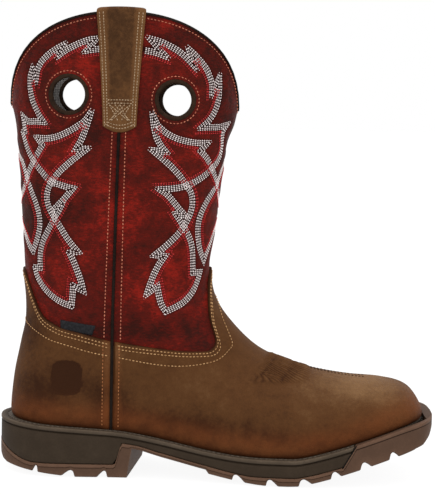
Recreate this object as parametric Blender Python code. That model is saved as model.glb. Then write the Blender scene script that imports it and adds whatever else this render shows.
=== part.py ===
"""A pull-on western work boot for the right foot, standing empty on its sole.

Frame: metres, +X to the toe, +Y to the inner (medial) side, +Z up, with the origin under the middle
of the boot's box. Inside this file, lengths along the boot are counted from the back of the heel.
The upper is one skin, worked out ring by ring from the collar down to the welt. Every leather piece
is cut from that skin: its own wall lies inside it, and what is stitched on lies just outside it.
"""

import math
from collections import namedtuple

import bmesh
import bpy
import numpy as np

MM = 0.001

# Driving sizes of the sole
SOLE_LENGTH = 310.0 * MM
BALL_WIDTH = 109.0 * MM
HEEL_HEIGHT = 37.8 * MM
HEEL_DROP = 4.8 * MM
HEEL_BEVEL = 6.5 * MM
FOREFOOT_THICKNESS = 18.5 * MM
TOE_SPRING = 32.5 * MM
SHANK_RISE = 6.2 * MM
HEEL_ROUND = 42.0 * MM
TOE_ROUND = 34.0 * MM
HEEL_SQUARE = 2.1
TOE_SQUARE = 2.9
WELT_THICKNESS = 2.8 * MM
OUTSOLE_THICKNESS = 6.2 * MM
SHANK_THICKNESS = 3.2 * MM
HEEL_BASE = 9.5 * MM
HEEL_CURL = 12.0 * MM
TREAD_DEPTH = 4.6 * MM
TREAD_DRAFT = 1.6 * MM
BREAST_SKEW = 7.6 * MM
BUMPER_WALL = 4.4 * MM
SPRING_POWER = 1.25
TIP_DROP = 4.2 * MM
THINNEST = 0.6 * MM

# Driving sizes of the upper
WALL = 2.2 * MM
OVERLAY = 1.5 * MM
FOOT_HEIGHT = 110.0 * MM
LEG_HEIGHT = 112.0 * MM
COLLAR_RISE = 65.5 * MM
SHAFT_DEPTH = 161.0 * MM
SHAFT_WIDTH = 83.0 * MM
FEATHER_INSET = 8.0 * MM
SIDE_BULGE = 1.6 * MM
INSOLE_ABOVE_SEAT = 2.6 * MM
THROAT_DROP = 5.0 * MM
BEND_DROP = 2.2 * MM

# Trim
GAP = 0.3 * MM
FEATHER_GAP = 0.6 * MM
PIPING_WIDTH = 2.2 * MM
PIPING_PROUD = 2.1 * MM
BINDING = 0.8 * MM
HOLE_RADIUS = 13.0 * MM
HOLE_BINDING = 1.6 * MM
HOLE_PROUD = 0.7 * MM
STRAP_THICKNESS = 1.9 * MM
STRAP_LENGTH = 82.0 * MM
STRAP_INSIDE = 66.0 * MM
STRAP_TIP = 4.5 * MM
STRAP_LIFT = 0.8 * MM
STRAP_TOP_WIDTH = 33.4 * MM
STRAP_END_WIDTH = 22.3 * MM
STRAP_FORWARD = 2.8 * MM

# How finely the skin is cut into facets
LEG_ROWS = 10
FOOT_ROWS = 9
FRONT_COLUMNS = 13
BACK_COLUMNS = 7

# Places along the boot, as shares of the sole's length
SHANK_START, SHANK_END = 0.256, 0.607
SPRING_START = 0.68
TIP_START = 0.90
REAR_RISE_START, REAR_RISE_END = 0.48, 0.623
BEVEL_END = 0.182
BREAST = 0.305
SKEW_START, SKEW_FULL, SKEW_FALLS, SKEW_END = 0.17, 0.25, 0.33, 0.45
HEEL_PARTING_END, HEEL_PARTING_BLEND, PARTING_JOINT = 0.272, 0.018, 0.30
HEEL_CURL_END = 0.09
BUMPER_START = 0.802
SEAM = 0.262
SEAM_LEAN, SEAM_LEAN_END = 0.0145, 0.66
SHAFT_AXIS = 0.2636

# The collar ring is at 0, the ring through the throat at ANKLE and the ring on the welt at 1
ANKLE = 0.5
COLLAR_POWER = 2.1
SHAFT_SQUARE = 2.1
RIM = 0.0046
BINDING_COVER = 0.0033
BINDING_EDGE = 0.0078
BINDING_SHOULDER = 0.0012

# Heights over the welt, as shares of the foot's height
LEG_SHAPE_START, LEG_SHAPE_SPAN = 0.12, 0.75
BULGE_TOP = 0.5

Outline = namedtuple("Outline", "along lateral medial")
SOLE_OUTLINE = [  # along is a share of the sole's length, the sides are shares of half the ball width
    Outline(0.00, 0.715, 0.705),
    Outline(0.16, 0.745, 0.730),
    Outline(0.30, 0.720, 0.660),
    Outline(0.40, 0.745, 0.600),
    Outline(0.50, 0.860, 0.670),
    Outline(0.60, 0.975, 0.840),
    Outline(0.67, 1.000, 0.955),
    Outline(0.74, 0.990, 1.000),
    Outline(0.83, 0.945, 0.985),
    Outline(0.92, 0.885, 0.945),
    Outline(1.00, 0.865, 0.860),
]

LegRing = namedtuple("LegRing", "ring height back front width roundness")
LEG_RINGS = [  # height is a share of the leg, back, front and width of the shaft's depth and width
    LegRing(0.00, 1.00, -0.478, 0.520, 1.000, 0.503),
    LegRing(0.05, 0.90, -0.461, 0.505, 0.995, 0.495),
    LegRing(0.10, 0.80, -0.452, 0.479, 0.985, 0.485),
    LegRing(0.17, 0.66, -0.442, 0.465, 0.970, 0.475),
    LegRing(0.27, 0.46, -0.431, 0.448, 0.945, 0.460),
    LegRing(0.38, 0.24, -0.420, 0.433, 0.915, 0.445),
    LegRing(0.50, 0.00, -0.410, 0.411, 0.880, 0.420),
]

FootRing = namedtuple(
    "FootRing", "ring back back_rise front front_rise bend bend_rise ridge_round toe_square back_round"
)
FOOT_RINGS = [  # places are shares of the sole's length, rises and rounds are shares of the foot's height
    FootRing(0.58, 0.0585, 0.780, 0.484, 0.846, 0.313, 0.690, 0.62, 2.05, 0.54),
    FootRing(0.66, 0.0588, 0.627, 0.521, 0.699, 0.390, 0.460, 0.66, 2.00, 0.46),
    FootRing(0.74, 0.0500, 0.500, 0.602, 0.527, 0.511, 0.275, 0.56, 2.00, 0.40),
    FootRing(0.80, 0.0410, 0.377, 0.690, 0.450, 0.613, 0.175, 0.47, 2.10, 0.36),
    FootRing(0.86, 0.0345, 0.264, 0.799, 0.352, 0.722, 0.100, 0.36, 2.25, 0.33),
    FootRing(0.91, 0.0305, 0.161, 0.887, 0.268, 0.805, 0.050, 0.30, 2.40, 0.31),
    FootRing(0.95, 0.0285, 0.085, 0.945, 0.170, 0.863, 0.022, 0.27, 2.50, 0.30),
    FootRing(0.98, 0.0285, 0.032, 0.968, 0.064, 0.895, 0.007, 0.26, 2.60, 0.30),
    FootRing(1.00, 0.0307, 0.000, 0.975, 0.000, 0.911, 0.000, 0.26, 2.60, 0.30),
]

Edge = namedtuple("Edge", "around ring")
FOOT_EDGE = [  # top edge of the foot leather: around is 0 at the front, 1 at the side seam, 2 at the back
    Edge(0.00, 0.503),
    Edge(0.12, 0.545),
    Edge(0.22, 0.590),
    Edge(0.32, 0.632),
    Edge(0.41, 0.677),
    Edge(0.50, 0.692),
    Edge(0.62, 0.689),
    Edge(0.80, 0.678),
    Edge(1.00, 0.666),
    Edge(1.22, 0.652),
    Edge(1.45, 0.641),
    Edge(1.60, 0.618),
    Edge(1.72, 0.568),
    Edge(1.84, 0.512),
    Edge(2.00, 0.495),
]

Parting = namedtuple("Parting", "along under_seat")
PARTING = [  # depth of the midsole's lower edge under the welt's top, ahead of the heel
    Parting(0.33, 7.2 * MM),
    Parting(0.37, 8.6 * MM),
    Parting(0.48, 9.8 * MM),
    Parting(0.58, FOREFOOT_THICKNESS - OUTSOLE_THICKNESS),
]

Lug = namedtuple("Lug", "name start end")
LUGS = [  # blocks of the tread, as shares of the sole's length, with a channel after each
    Lug("heel edge", 0.0192, 0.0863),
    Lug("heel back", 0.0990, 0.1535),
    Lug("heel middle", 0.1832, 0.2332),
    Lug("heel front", 0.2571, 0.3010),
    Lug("ball back", 0.4860, 0.5400),
    Lug("ball", 0.5681, 0.6158),
    Lug("ball front", 0.6426, 0.6894),
    Lug("tread", 0.7184, 0.7610),
    Lug("toe back", 0.7842, 0.8268),
    Lug("toe", 0.8519, 0.8919),
    Lug("toe tip", 0.9135, 0.9520),
]

Nose = namedtuple("Nose", "inward above")
HEEL_NOSE = [  # rounded edge of the tread at the heel's back, above the tread's lowest line
    Nose(0.0 * MM, 8.0 * MM),
    Nose(1.2 * MM, 3.2 * MM),
    Nose(3.2 * MM, 1.0 * MM),
]
TOE_NOSE = [  # rounded edge of the tread at the toe
    Nose(9.0 * MM, 0.0 * MM),
    Nose(4.0 * MM, 3.0 * MM),
    Nose(1.3 * MM, 7.0 * MM),
    Nose(0.0 * MM, 14.0 * MM),
]

Hole = namedtuple("Hole", "name along height")
HOLES = [  # centres, as shares of the sole's length and of the leg's height above the throat
    Hole("back", 0.1556, 1.068),
    Hole("front", 0.3933, 1.049),
]

SIDES = {"lateral": 1.0, "medial": -1.0}


def smooth(knots, values, at):
    """A smooth curve through a table's points: cubic pieces whose slopes are those of the table."""
    knots, values = np.asarray(knots, float), np.asarray(values, float)
    slopes = np.gradient(values, knots)
    i = np.clip(np.searchsorted(knots, at, side="right") - 1, 0, len(knots) - 2)
    step = knots[i + 1] - knots[i]
    u = (at - knots[i]) / step
    u2, u3 = u * u, u * u * u
    return (
        (2 * u3 - 3 * u2 + 1) * values[i]
        + (u3 - 2 * u2 + u) * step * slopes[i]
        + (3 * u2 - 2 * u3) * values[i + 1]
        + (u3 - u2) * step * slopes[i + 1]
    )


def ease(u):
    """Zero before 0, one after 1, smooth between."""
    u = np.clip(u, 0.0, 1.0)
    return u * u * (3.0 - 2.0 * u)


def rounding(depth, radius, square):
    """Share of the full width at a depth behind an edge that is rounded off over a radius."""
    inside = np.clip(1.0 - depth / radius, 0.0, 1.0)
    return (1.0 - inside**square) ** (1.0 / square)


def column(rows, name):
    return np.array([getattr(row, name) for row in rows])


# Sole: heights above the floor along the boot


def toe_share(x):
    """Zero behind the ball, growing to one at the toe."""
    return np.clip((x / SOLE_LENGTH - SPRING_START) / (1 - SPRING_START), 0, None) ** SPRING_POWER


def spring(x):
    """Height of the tread's lowest line: flat under heel and ball, lifted at back, shank and toe."""
    toe = toe_share(x)
    rear = np.clip(
        (REAR_RISE_END - x / SOLE_LENGTH) / (REAR_RISE_END - REAR_RISE_START), 0, None
    )
    rear = np.where(x > BREAST * SOLE_LENGTH * 1.2, rear**1.5, 0)
    bevel = np.clip(1 - x / (BEVEL_END * SOLE_LENGTH), 0, None) ** 1.2
    return TOE_SPRING * toe + SHANK_RISE * rear + HEEL_BEVEL * bevel


def seat(x):
    """Height of the welt's top, on which the upper stands."""
    toe = toe_share(x)
    fore = FOREFOOT_THICKNESS + TOE_SPRING * toe
    heel = HEEL_HEIGHT - HEEL_DROP * x / (SHANK_START * SOLE_LENGTH)
    blend = ease((x / SOLE_LENGTH - SHANK_START) / (SHANK_END - SHANK_START))
    tip = np.clip((x / SOLE_LENGTH - TIP_START) / (1 - TIP_START), 0, None) ** 2
    return heel + (fore - heel) * blend - TIP_DROP * tip


def parting(x):
    """Height of the line between the dark midsole and the brown outsole."""
    share = x / SOLE_LENGTH
    under = np.interp(share, column(PARTING, "along"), column(PARTING, "under_seat"))
    back = HEEL_BASE + HEEL_CURL * np.clip(1 - share / HEEL_CURL_END, 0, 1) ** 1.8
    rise = seat(x) - PARTING[0].under_seat - back
    heel = back + rise * ease((share - HEEL_PARTING_END) / HEEL_PARTING_BLEND)
    return np.where(share < PARTING_JOINT, heel, seat(x) - under)


def half_width(x, side, inset=0.0):
    """Distance of the sole's edge from its middle line, at an inset, rounded at heel and toe."""
    name = "lateral" if side > 0 else "medial"
    full = smooth(
        column(SOLE_OUTLINE, "along"), column(SOLE_OUTLINE, name), np.clip(x / SOLE_LENGTH, 0, 1)
    )
    full = full * BALL_WIDTH / 2 - inset
    back = rounding(x - inset, HEEL_ROUND - inset, HEEL_SQUARE)
    toe = rounding(SOLE_LENGTH - inset - x, TOE_ROUND - inset, TOE_SQUARE)
    return np.maximum(full * back * toe, THINNEST)


def skew(x, y):
    """How far a section of the sole is turned forward at a place across it, most at the breast."""
    share = x / SOLE_LENGTH
    turned = ease((share - SKEW_START) / (SKEW_FULL - SKEW_START))
    turned = turned * (1 - ease((share - SKEW_FALLS) / (SKEW_END - SKEW_FALLS)))
    return BREAST_SKEW * turned * (0.5 + y / (0.7 * BALL_WIDTH))


# Upper: one skin, a function of the ring and of the angle round the leg


def seam_at(ring):
    """Place of the side seam along the boot: upright on the foot, leaning forward up the leg."""
    lean = np.clip(1 - np.asarray(ring) / SEAM_LEAN_END, 0, 1) ** 1.5
    return (SEAM + SEAM_LEAN * lean) * SOLE_LENGTH


def ring_columns():
    """Both ring tables as arrays of real lengths over the ring number."""
    axis = SHAFT_AXIS * SOLE_LENGTH
    leg, foot = LEG_RINGS, FOOT_RINGS
    table = {"ring": np.concatenate([column(leg, "ring"), column(foot, "ring")])}
    back = axis + column(leg, "back") * SHAFT_DEPTH
    front = axis + column(leg, "front") * SHAFT_DEPTH
    rise = FOOT_HEIGHT + column(leg, "height") * LEG_HEIGHT
    length, height = SOLE_LENGTH, FOOT_HEIGHT

    def both(leg_part, name, size):
        return np.concatenate([leg_part, column(foot, name) * size])

    table["back"] = both(back, "back", length)
    table["front"] = both(front, "front", length)
    table["bend"] = both((back + front) / 2, "bend", length)
    low = 1 - column(leg, "height")
    table["back_rise"] = both(rise - THROAT_DROP * low, "back_rise", height)
    table["front_rise"] = both(rise, "front_rise", height)
    table["bend_rise"] = both(rise - BEND_DROP * low, "bend_rise", height)
    shaft_round = column(leg, "roundness") * SHAFT_DEPTH
    table["front_round"] = both(shaft_round, "ridge_round", height)
    table["back_round"] = both(shaft_round, "back_round", height)
    table["square"] = both(np.full(len(leg), SHAFT_SQUARE), "toe_square", 1.0)
    table["width"] = np.concatenate([column(leg, "width"), np.full(len(foot), leg[-1].width)])
    return table


RINGS = ring_columns()


def ring_value(name, ring):
    return smooth(RINGS["ring"], RINGS[name], ring)


def ring_base(ring, x):
    """The height that a ring's rises are counted from: the heel's seat, then more and more the welt."""
    share = np.clip((ring - ANKLE) / (1 - ANKLE), 0, 1)
    return (1 - share) * HEEL_HEIGHT + share * seat(x)


def side_view(ring, angle):
    """Place along the boot and height of a point of the skin: a bent chord from front to back line."""
    p = (1 + np.cos(angle)) / 2
    a, b, c = (1 - p) ** 2, 2 * p * (1 - p), p**2
    x = a * ring_value("back", ring) + b * ring_value("bend", ring) + c * ring_value("front", ring)
    rise = (
        a * ring_value("back_rise", ring)
        + b * ring_value("bend_rise", ring)
        + c * ring_value("front_rise", ring)
    )
    around = np.abs(np.abs(angle) - math.pi / 2) / (math.pi / 2)
    collar = COLLAR_RISE * (1 - around**COLLAR_POWER) * np.clip(1 - ring / ANKLE, 0, None)
    return x, ring_base(ring, x) + rise + collar


def edge_line(end):
    """The front or back line of the side view, run on above the collar and below the welt."""
    ring = np.linspace(0, 1, 90)
    x = ring_value(end, ring)
    z = ring_base(ring, x) + ring_value(end + "_rise", ring)
    x = np.concatenate([[x[0]], x, [x[-1]]])
    z = np.concatenate([[z[0] + 1.5 * COLLAR_RISE], z, [z[-1] - HEEL_HEIGHT]])
    return np.stack([x, z], axis=1)


EDGE_LINES = {end: edge_line(end) for end in ("front", "back")}


def depth_behind(end, x, z):
    """Distance of side-view points from the front or back line."""
    line = EDGE_LINES[end]
    start, step = line[:-1], np.diff(line, axis=0)
    point = np.stack([x, z], axis=-1)[..., None, :]
    along = ((point - start) * step).sum(-1) / (step**2).sum(-1)
    foot = start + np.clip(along, 0, 1)[..., None] * step
    return np.sqrt(((point - foot) ** 2).sum(-1).min(-1))


def skin_point(ring, angle):
    """A point of the skin. The side view is blown up to the boot's width, rounded behind its lines."""
    ring, angle = np.broadcast_arrays(np.asarray(ring, float), np.asarray(angle, float))
    angle = (angle + math.pi) % (2 * math.pi) - math.pi
    x, z = side_view(ring, angle)
    above = np.clip((z - seat(x)) / FOOT_HEIGHT, 0, 1)
    leg = ease((above - LEG_SHAPE_START) / LEG_SHAPE_SPAN)
    bulge = SIDE_BULGE * np.sin(math.pi * np.clip(above / BULGE_TOP, 0, 1))
    shaft = ring_value("width", ring) * SHAFT_WIDTH / 2
    full = {}
    for name in SIDES:
        shares = smooth(
            column(SOLE_OUTLINE, "along"), column(SOLE_OUTLINE, name), np.clip(x / SOLE_LENGTH, 0, 1)
        )
        foot = shares * BALL_WIDTH / 2 - FEATHER_INSET + bulge
        full[name] = foot + (shaft - foot) * leg
    square = ring_value("square", ring)
    kept = rounding(depth_behind("front", x, z), ring_value("front_round", ring), square)
    kept = kept * rounding(depth_behind("back", x, z), ring_value("back_round", ring), HEEL_SQUARE)
    middle = (full["medial"] - full["lateral"]) / 2 * (1 - leg)
    side = np.where(angle >= 0, -full["lateral"], full["medial"])
    return np.stack([x, middle + kept * (side - middle), z], axis=-1)


def skin(ring, angle, offset=0.0):
    """Points of the skin moved outwards by an offset along its normals."""
    ring, angle = np.broadcast_arrays(np.asarray(ring, float), np.asarray(angle, float))
    point = skin_point(ring, angle)
    step = 1e-3
    low, high = np.clip(ring - step, 0, 1), np.clip(ring + step, 0, 1)
    down = skin_point(high, angle) - skin_point(low, angle)
    round_leg = skin_point(ring, angle + 4 * step) - skin_point(ring, angle - 4 * step)
    normal = np.cross(round_leg, down)
    normal /= np.linalg.norm(normal, axis=-1, keepdims=True)
    return point + np.asarray(offset)[..., None] * normal


def angle_at(ring, x, side):
    """The angle at which a ring passes a place along the boot."""
    back, bend, front = (ring_value(name, ring) for name in ("back", "bend", "front"))
    a, b, c = back - 2 * bend + front, 2 * (bend - back), back - x
    flat = np.abs(a) < 1e-9
    root = np.sqrt(np.maximum(b * b - 4 * a * c, 0))
    p = np.where(flat, -c / b, (-b + root) / np.where(flat, 1, 2 * a))
    return side * np.arccos(np.clip(2 * p - 1, -1, 1))


def ring_near(x, z, side):
    """Ring and angle of the skin at a side-view place, by halving the ring range."""
    low, high = np.zeros_like(x), np.full_like(x, ANKLE)
    for _ in range(30):
        ring = (low + high) / 2
        above = side_view(ring, angle_at(ring, x, side))[1] > z
        low, high = np.where(above, ring, low), np.where(above, high, ring)
    return ring, angle_at(ring, x, side)


def foot_edge(around):
    return smooth(column(FOOT_EDGE, "around"), column(FOOT_EDGE, "ring"), around)


def ring_rows(around):
    """Rings of the facet rows at a place round the leg: leg rows, then foot rows from the foot edge."""
    edge = foot_edge(around)
    leg = RIM + (edge - RIM) * (np.arange(LEG_ROWS) / LEG_ROWS)
    foot = edge + (1 - edge) * np.linspace(0, 1, FOOT_ROWS + 1) ** 0.85
    return np.concatenate([leg, foot])


def skin_grid(side):
    """Rings and angles of all facet corners on one side, one column after another, front to back."""
    clear = PIPING_WIDTH / 2 + 1.5 * GAP
    lines = []
    for share in np.linspace(0, 1, FRONT_COLUMNS + 1):
        rings = ring_rows(share)
        lines.append((rings, share * angle_at(rings, seam_at(rings) + clear, side)))
    rings = ring_rows(1.0)
    lines.append((rings, angle_at(rings, seam_at(rings), side)))
    for share in np.linspace(0, 1, BACK_COLUMNS + 1):
        rings = ring_rows(1 + share)
        behind = angle_at(rings, seam_at(rings) - clear, side)
        lines.append((rings, behind + share * (side * math.pi - behind)))
    return tuple(np.array([line[k] for line in lines]) for k in (0, 1))


GRIDS = {name: skin_grid(side) for name, side in SIDES.items()}
SEAM_COLUMN = FRONT_COLUMNS + 1


def whole_ring():
    """The facet corners of both sides joined round the leg."""
    outer, inner = GRIDS["lateral"], GRIDS["medial"]
    return tuple(np.concatenate([outer[k], inner[k][-2:0:-1]]) for k in (0, 1))


# Meshes and objects


def place(points):
    """From places counted from the heel to the frame's middle."""
    return np.asarray(points) - np.array([SOLE_LENGTH / 2, 0, 0])


def material(name, colour, roughness):
    made = bpy.data.materials.new(name)
    made.use_nodes = True
    shader = made.node_tree.nodes["Principled BSDF"]
    shader.inputs["Base Color"].default_value = (*colour, 1.0)
    shader.inputs["Roughness"].default_value = roughness
    shader.inputs["Metallic"].default_value = 0.0
    return made


def add_object(name, points, faces, finish):
    """A closed mesh as a named object, its faces turned outwards."""
    mesh = bpy.data.meshes.new(name)
    mesh.from_pydata([tuple(p) for p in place(points)], [], faces)
    work = bmesh.new()
    work.from_mesh(mesh)
    if work.calc_volume(signed=True) < 0:
        bmesh.ops.reverse_faces(work, faces=work.faces)
    bmesh.ops.triangulate(work, faces=work.faces)
    work.to_mesh(mesh)
    work.free()
    obj = bpy.data.objects.new(name, mesh)
    bpy.context.collection.objects.link(obj)
    mesh.shade_smooth()
    mesh.set_sharp_from_angle(angle=math.radians(40))
    mesh.materials.append(material(name, *finish))
    return obj


def tube(loops, closed):
    """Faces that join loops of equally many points; the first and last are capped unless closed."""
    count, around = len(loops), len(loops[0])
    faces = []
    for i in range(count if closed else count - 1):
        a, b = i * around, ((i + 1) % count) * around
        for j in range(around):
            k = (j + 1) % around
            faces.append((a + j, a + k, b + k, b + j))
    if not closed:
        faces.append(tuple(reversed(range(around))))
        faces.append(tuple(range((count - 1) * around, count * around)))
    return np.concatenate([np.asarray(loop) for loop in loops]), faces


def shell(outer, inner, closed):
    """Points and faces between two equal grids of columns by rows, with all open edges filled."""
    columns, rows = outer.shape[:2]
    points = np.concatenate([outer.reshape(-1, 3), inner.reshape(-1, 3)])
    shift = columns * rows
    faces = []
    steps = columns if closed else columns - 1
    for c in range(steps):
        d = (c + 1) % columns
        for r in range(rows - 1):
            quad = (c * rows + r, d * rows + r, d * rows + r + 1, c * rows + r + 1)
            faces.append(quad)
            faces.append(tuple(shift + v for v in reversed(quad)))
        for a, b in ((d * rows, c * rows), ((c + 1) * rows - 1, (d + 1) * rows - 1)):
            faces.append((a, b, shift + b, shift + a))
    if not closed:
        for r in range(rows - 1):
            last = (columns - 1) * rows + r
            faces.append((r, r + 1, shift + r + 1, shift + r))
            faces.append((last + 1, last, shift + last, shift + last + 1))
    return points, faces


# Sole pieces


def tread_line():
    """Points of the tread's underside: blocks with sloping sides, channels, breast and shank."""
    length, breast = SOLE_LENGTH, BREAST * SOLE_LENGTH
    shank_end = (LUGS[4].start - 0.006) * length
    points = [(nose.inward, nose.above) for nose in HEEL_NOSE]
    for lug, following in zip(LUGS, LUGS[1:] + [None]):
        start, end = lug.start * length, lug.end * length
        points += [(start, 0.0), ((start + end) / 2, 0.0), (end, 0.0)]
        if following and following.start - lug.end < 0.1:
            after = following.start * length
            points += [(end + TREAD_DRAFT, TREAD_DEPTH), (after - TREAD_DRAFT, TREAD_DEPTH)]
    points += [(length - nose.inward, nose.above) for nose in TOE_NOSE]
    points = [(x, float(spring(x)) + depth) for x, depth in points]
    for share in (0.0, 0.12, 0.25, 0.4, 0.6, 0.8, 1.0):
        x = breast + 2 * MM + share * (shank_end - breast - 2 * MM)
        points.append((x, float(parting(x)) - SHANK_THICKNESS))
    return np.array(sorted(points))


def stations(tread):
    """Places along the sole where all its sections are taken, closer together at both ends."""
    ends = (1 - np.cos(np.linspace(0, math.pi / 2, 10))) * 0.13
    middle = np.linspace(0.13, 0.87, 34)[1:-1]
    breaks = [0.272, 0.281, 0.290, 0.3001]
    bumper = BUMPER_START * SOLE_LENGTH
    fixed = list(tread[:, 0])
    fixed += [bumper - 2 * MM, bumper - GAP, bumper, bumper + MM, SOLE_LENGTH - BUMPER_WALL - GAP]
    fixed += [SOLE_LENGTH - BUMPER_WALL]
    for share in np.concatenate([ends, middle, 1 - ends, breaks]):
        x = share * SOLE_LENGTH
        if min(abs(x - known) for known in fixed) > 1.0 * MM:
            fixed.append(x)
    return np.array(sorted(fixed))


TREAD = tread_line()
STATIONS = stations(TREAD)


def on_stations(line, x):
    """A height line read straight between the stations, so that the layers fit."""
    return np.interp(x, STATIONS, line(STATIONS))


def corner(x, side, inset, z, turned=True):
    """A corner of a sole section, turned with the heel breast unless it lies on the welt."""
    y = -side * float(half_width(x, side, inset))
    return (float(x + skew(x, y) if turned else x), y, float(z))


def layer(top, bottom, inset, places, turned):
    """Sections of one sole layer: a flat bar from edge to edge at each place."""
    loops = []
    for x in places:
        hi, lo, room = top(x), bottom(x), inset(x)
        loops.append(
            [
                corner(x, 1, room, lo, turned),
                corner(x, 1, room, hi, False),
                corner(x, -1, room, hi, False),
                corner(x, -1, room, lo, turned),
            ]
        )
    return loops


def bumper_inset(x):
    """Room that a layer leaves for the toe bumper at a place along the sole."""
    start = BUMPER_START * SOLE_LENGTH - 2 * MM
    return (BUMPER_WALL + GAP) * float(np.clip((x - start) / (2 * MM - GAP), 0, 1))


def layer_places():
    """The stations as far as the layers behind the toe bumper go."""
    return STATIONS[STATIONS <= SOLE_LENGTH - BUMPER_WALL - GAP + 1e-9]


def make_welt():
    """A flat strip round the boot, between the midsole and the upper."""
    outer, inner = [], []
    inner_inset = FEATHER_INSET + WALL + 2.2 * MM
    places = layer_places()
    for side, order in ((1, places), (-1, places[::-1])):
        for x in order:
            share = (x - places[0]) / (places[-1] - places[0])
            inner_x = inner_inset + share * (SOLE_LENGTH - 2 * inner_inset)
            edge = corner(x, side, bumper_inset(x), 0, False)
            inside = corner(inner_x, side, inner_inset, 0, False)
            outer.append(edge)
            inner.append(inside)
    loops = []
    for (ox, oy, _), (ix, iy, _) in zip(outer, inner):
        otop, itop = on_stations(seat, ox), on_stations(seat, ix)
        loops.append(
            [
                (ox, oy, otop - WELT_THICKNESS),
                (ox, oy, otop),
                (ix, iy, itop),
                (ix, iy, itop - WELT_THICKNESS),
            ]
        )
    points, faces = tube(loops, closed=True)
    return add_object("welt", points, faces, ((0.09, 0.07, 0.05), 0.7))


def make_midsole():
    """The dark layer under the welt, which widens downwards into the heel's side panels."""
    loops = layer(
        lambda x: on_stations(seat, x) - WELT_THICKNESS - GAP,
        lambda x: on_stations(parting, x) + GAP / 2,
        bumper_inset,
        layer_places(),
        turned=True,
    )
    points, faces = tube(loops, closed=False)
    return add_object("midsole", points, faces, ((0.045, 0.033, 0.025), 0.75))


def make_outsole():
    """The brown outsole: heel base and breast, shank, tread blocks and the raised toe bumper."""
    bumper, pocket_end = BUMPER_START * SOLE_LENGTH, SOLE_LENGTH - BUMPER_WALL
    loops = []
    for x in STATIONS:
        bottom = np.interp(x, TREAD[:, 0], TREAD[:, 1])
        floor = on_stations(parting, x) - GAP / 2
        rim = on_stations(seat, x) if x > bumper + 0.5 * MM else floor
        low = floor if x < pocket_end - 0.1 * MM else rim
        top_inset, floor_inset = BUMPER_WALL, BUMPER_WALL + 0.1 * MM
        loops.append(
            [
                corner(x, 1, 0, bottom),
                corner(x, 1, 0, rim),
                corner(x, 1, top_inset, rim),
                corner(x, 1, floor_inset, low),
                corner(x, -1, floor_inset, low),
                corner(x, -1, top_inset, rim),
                corner(x, -1, 0, rim),
                corner(x, -1, 0, bottom),
            ]
        )
    points, faces = tube(loops, closed=False)
    return add_object("outsole", points, faces, ((0.10, 0.055, 0.038), 0.7))


def make_insole():
    """A footbed that fills the welt's opening and shows inside the boot."""
    inset = FEATHER_INSET + WALL + 5.0 * MM
    span = SOLE_LENGTH - 2 * inset
    places = inset + span * (1 - np.cos(np.linspace(0.04, 1, 30) * math.pi)) / 2
    loops = layer(
        lambda x: on_stations(seat, x) + INSOLE_ABOVE_SEAT,
        lambda x: on_stations(seat, x) - WELT_THICKNESS,
        lambda x: inset,
        places,
        turned=False,
    )
    points, faces = tube(loops, closed=False)
    return add_object("insole", points, faces, ((0.30, 0.27, 0.23), 0.9))


# Leather pieces


def hole_ring(hole, side, radius, offset, count):
    """Points on the skin at a radius round a pull hole, moved out by an offset."""
    turn = np.arange(count) * 2 * math.pi / count
    x = hole.along * SOLE_LENGTH + radius * np.cos(turn)
    z = HEEL_HEIGHT + FOOT_HEIGHT + hole.height * LEG_HEIGHT + radius * np.sin(turn)
    ring, angle = ring_near(x, z, side)
    return skin(ring, angle, np.full(count, offset))


def cut_hole(obj, hole, side, name):
    """Take a pull hole out of the upper, square to the skin."""
    loops = [hole_ring(hole, side, HOLE_RADIUS, o, 20) for o in (-WALL - 2 * MM, 2 * MM)]
    cutter = add_object(name, *tube(loops, closed=False), ((0.5, 0.5, 0.5), 0.5))
    cutter.hide_render = True
    cutter.display_type = "WIRE"
    cut = obj.modifiers.new(name, "BOOLEAN")
    cut.operation = "DIFFERENCE"
    cut.solver = "EXACT"
    cut.object = cutter


def make_upper():
    """Foot and shaft as one hollow wall, open at the collar, the pull holes and the welt."""
    rings, angles = whole_ring()
    outer = skin(rings, angles)
    inner = skin(rings, angles, np.full(rings.shape, -WALL))
    for grid in (outer, inner):
        grid[:, -1, 2] = on_stations(seat, grid[:, -1, 0]) + FEATHER_GAP
    upper = add_object("upper", *shell(outer, inner, closed=True), ((0.17, 0.02, 0.016), 0.5))
    for name, side in SIDES.items():
        for hole in HOLES:
            cut_hole(upper, hole, side, "cutter_" + hole.name + "_" + name)
    return upper


def cut_overlay(name, rings, angles, finish):
    """A piece of foot leather between two larger forms of the skin."""
    outer = skin(rings, angles, np.full(rings.shape, GAP + OVERLAY))
    inner = skin(rings, angles, np.full(rings.shape, GAP))
    for grid in (outer, inner):
        grid[:, -1, 2] = on_stations(seat, grid[:, -1, 0]) + FEATHER_GAP
    return add_object(name, *shell(outer, inner, closed=False), finish)


def make_overlays():
    """The vamp in front of the side seams and the counter behind them."""
    leather = ((0.13, 0.065, 0.03), 0.6)
    lateral, medial = GRIDS["lateral"], GRIDS["medial"]
    foot = slice(LEG_ROWS, None)
    front, back = slice(0, FRONT_COLUMNS + 1), slice(SEAM_COLUMN + 1, None)
    for name, part, skip in (("vamp", front, 1), ("counter", back, 0)):
        grids = []
        for k in (0, 1):
            near, far = lateral[k][part, foot], medial[k][part, foot]
            joined = [far[::-1][: len(far) - 1], near] if skip else [near, far[::-1][1:]]
            grids.append(np.concatenate(joined))
        cut_overlay(name, *grids, leather)


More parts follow.
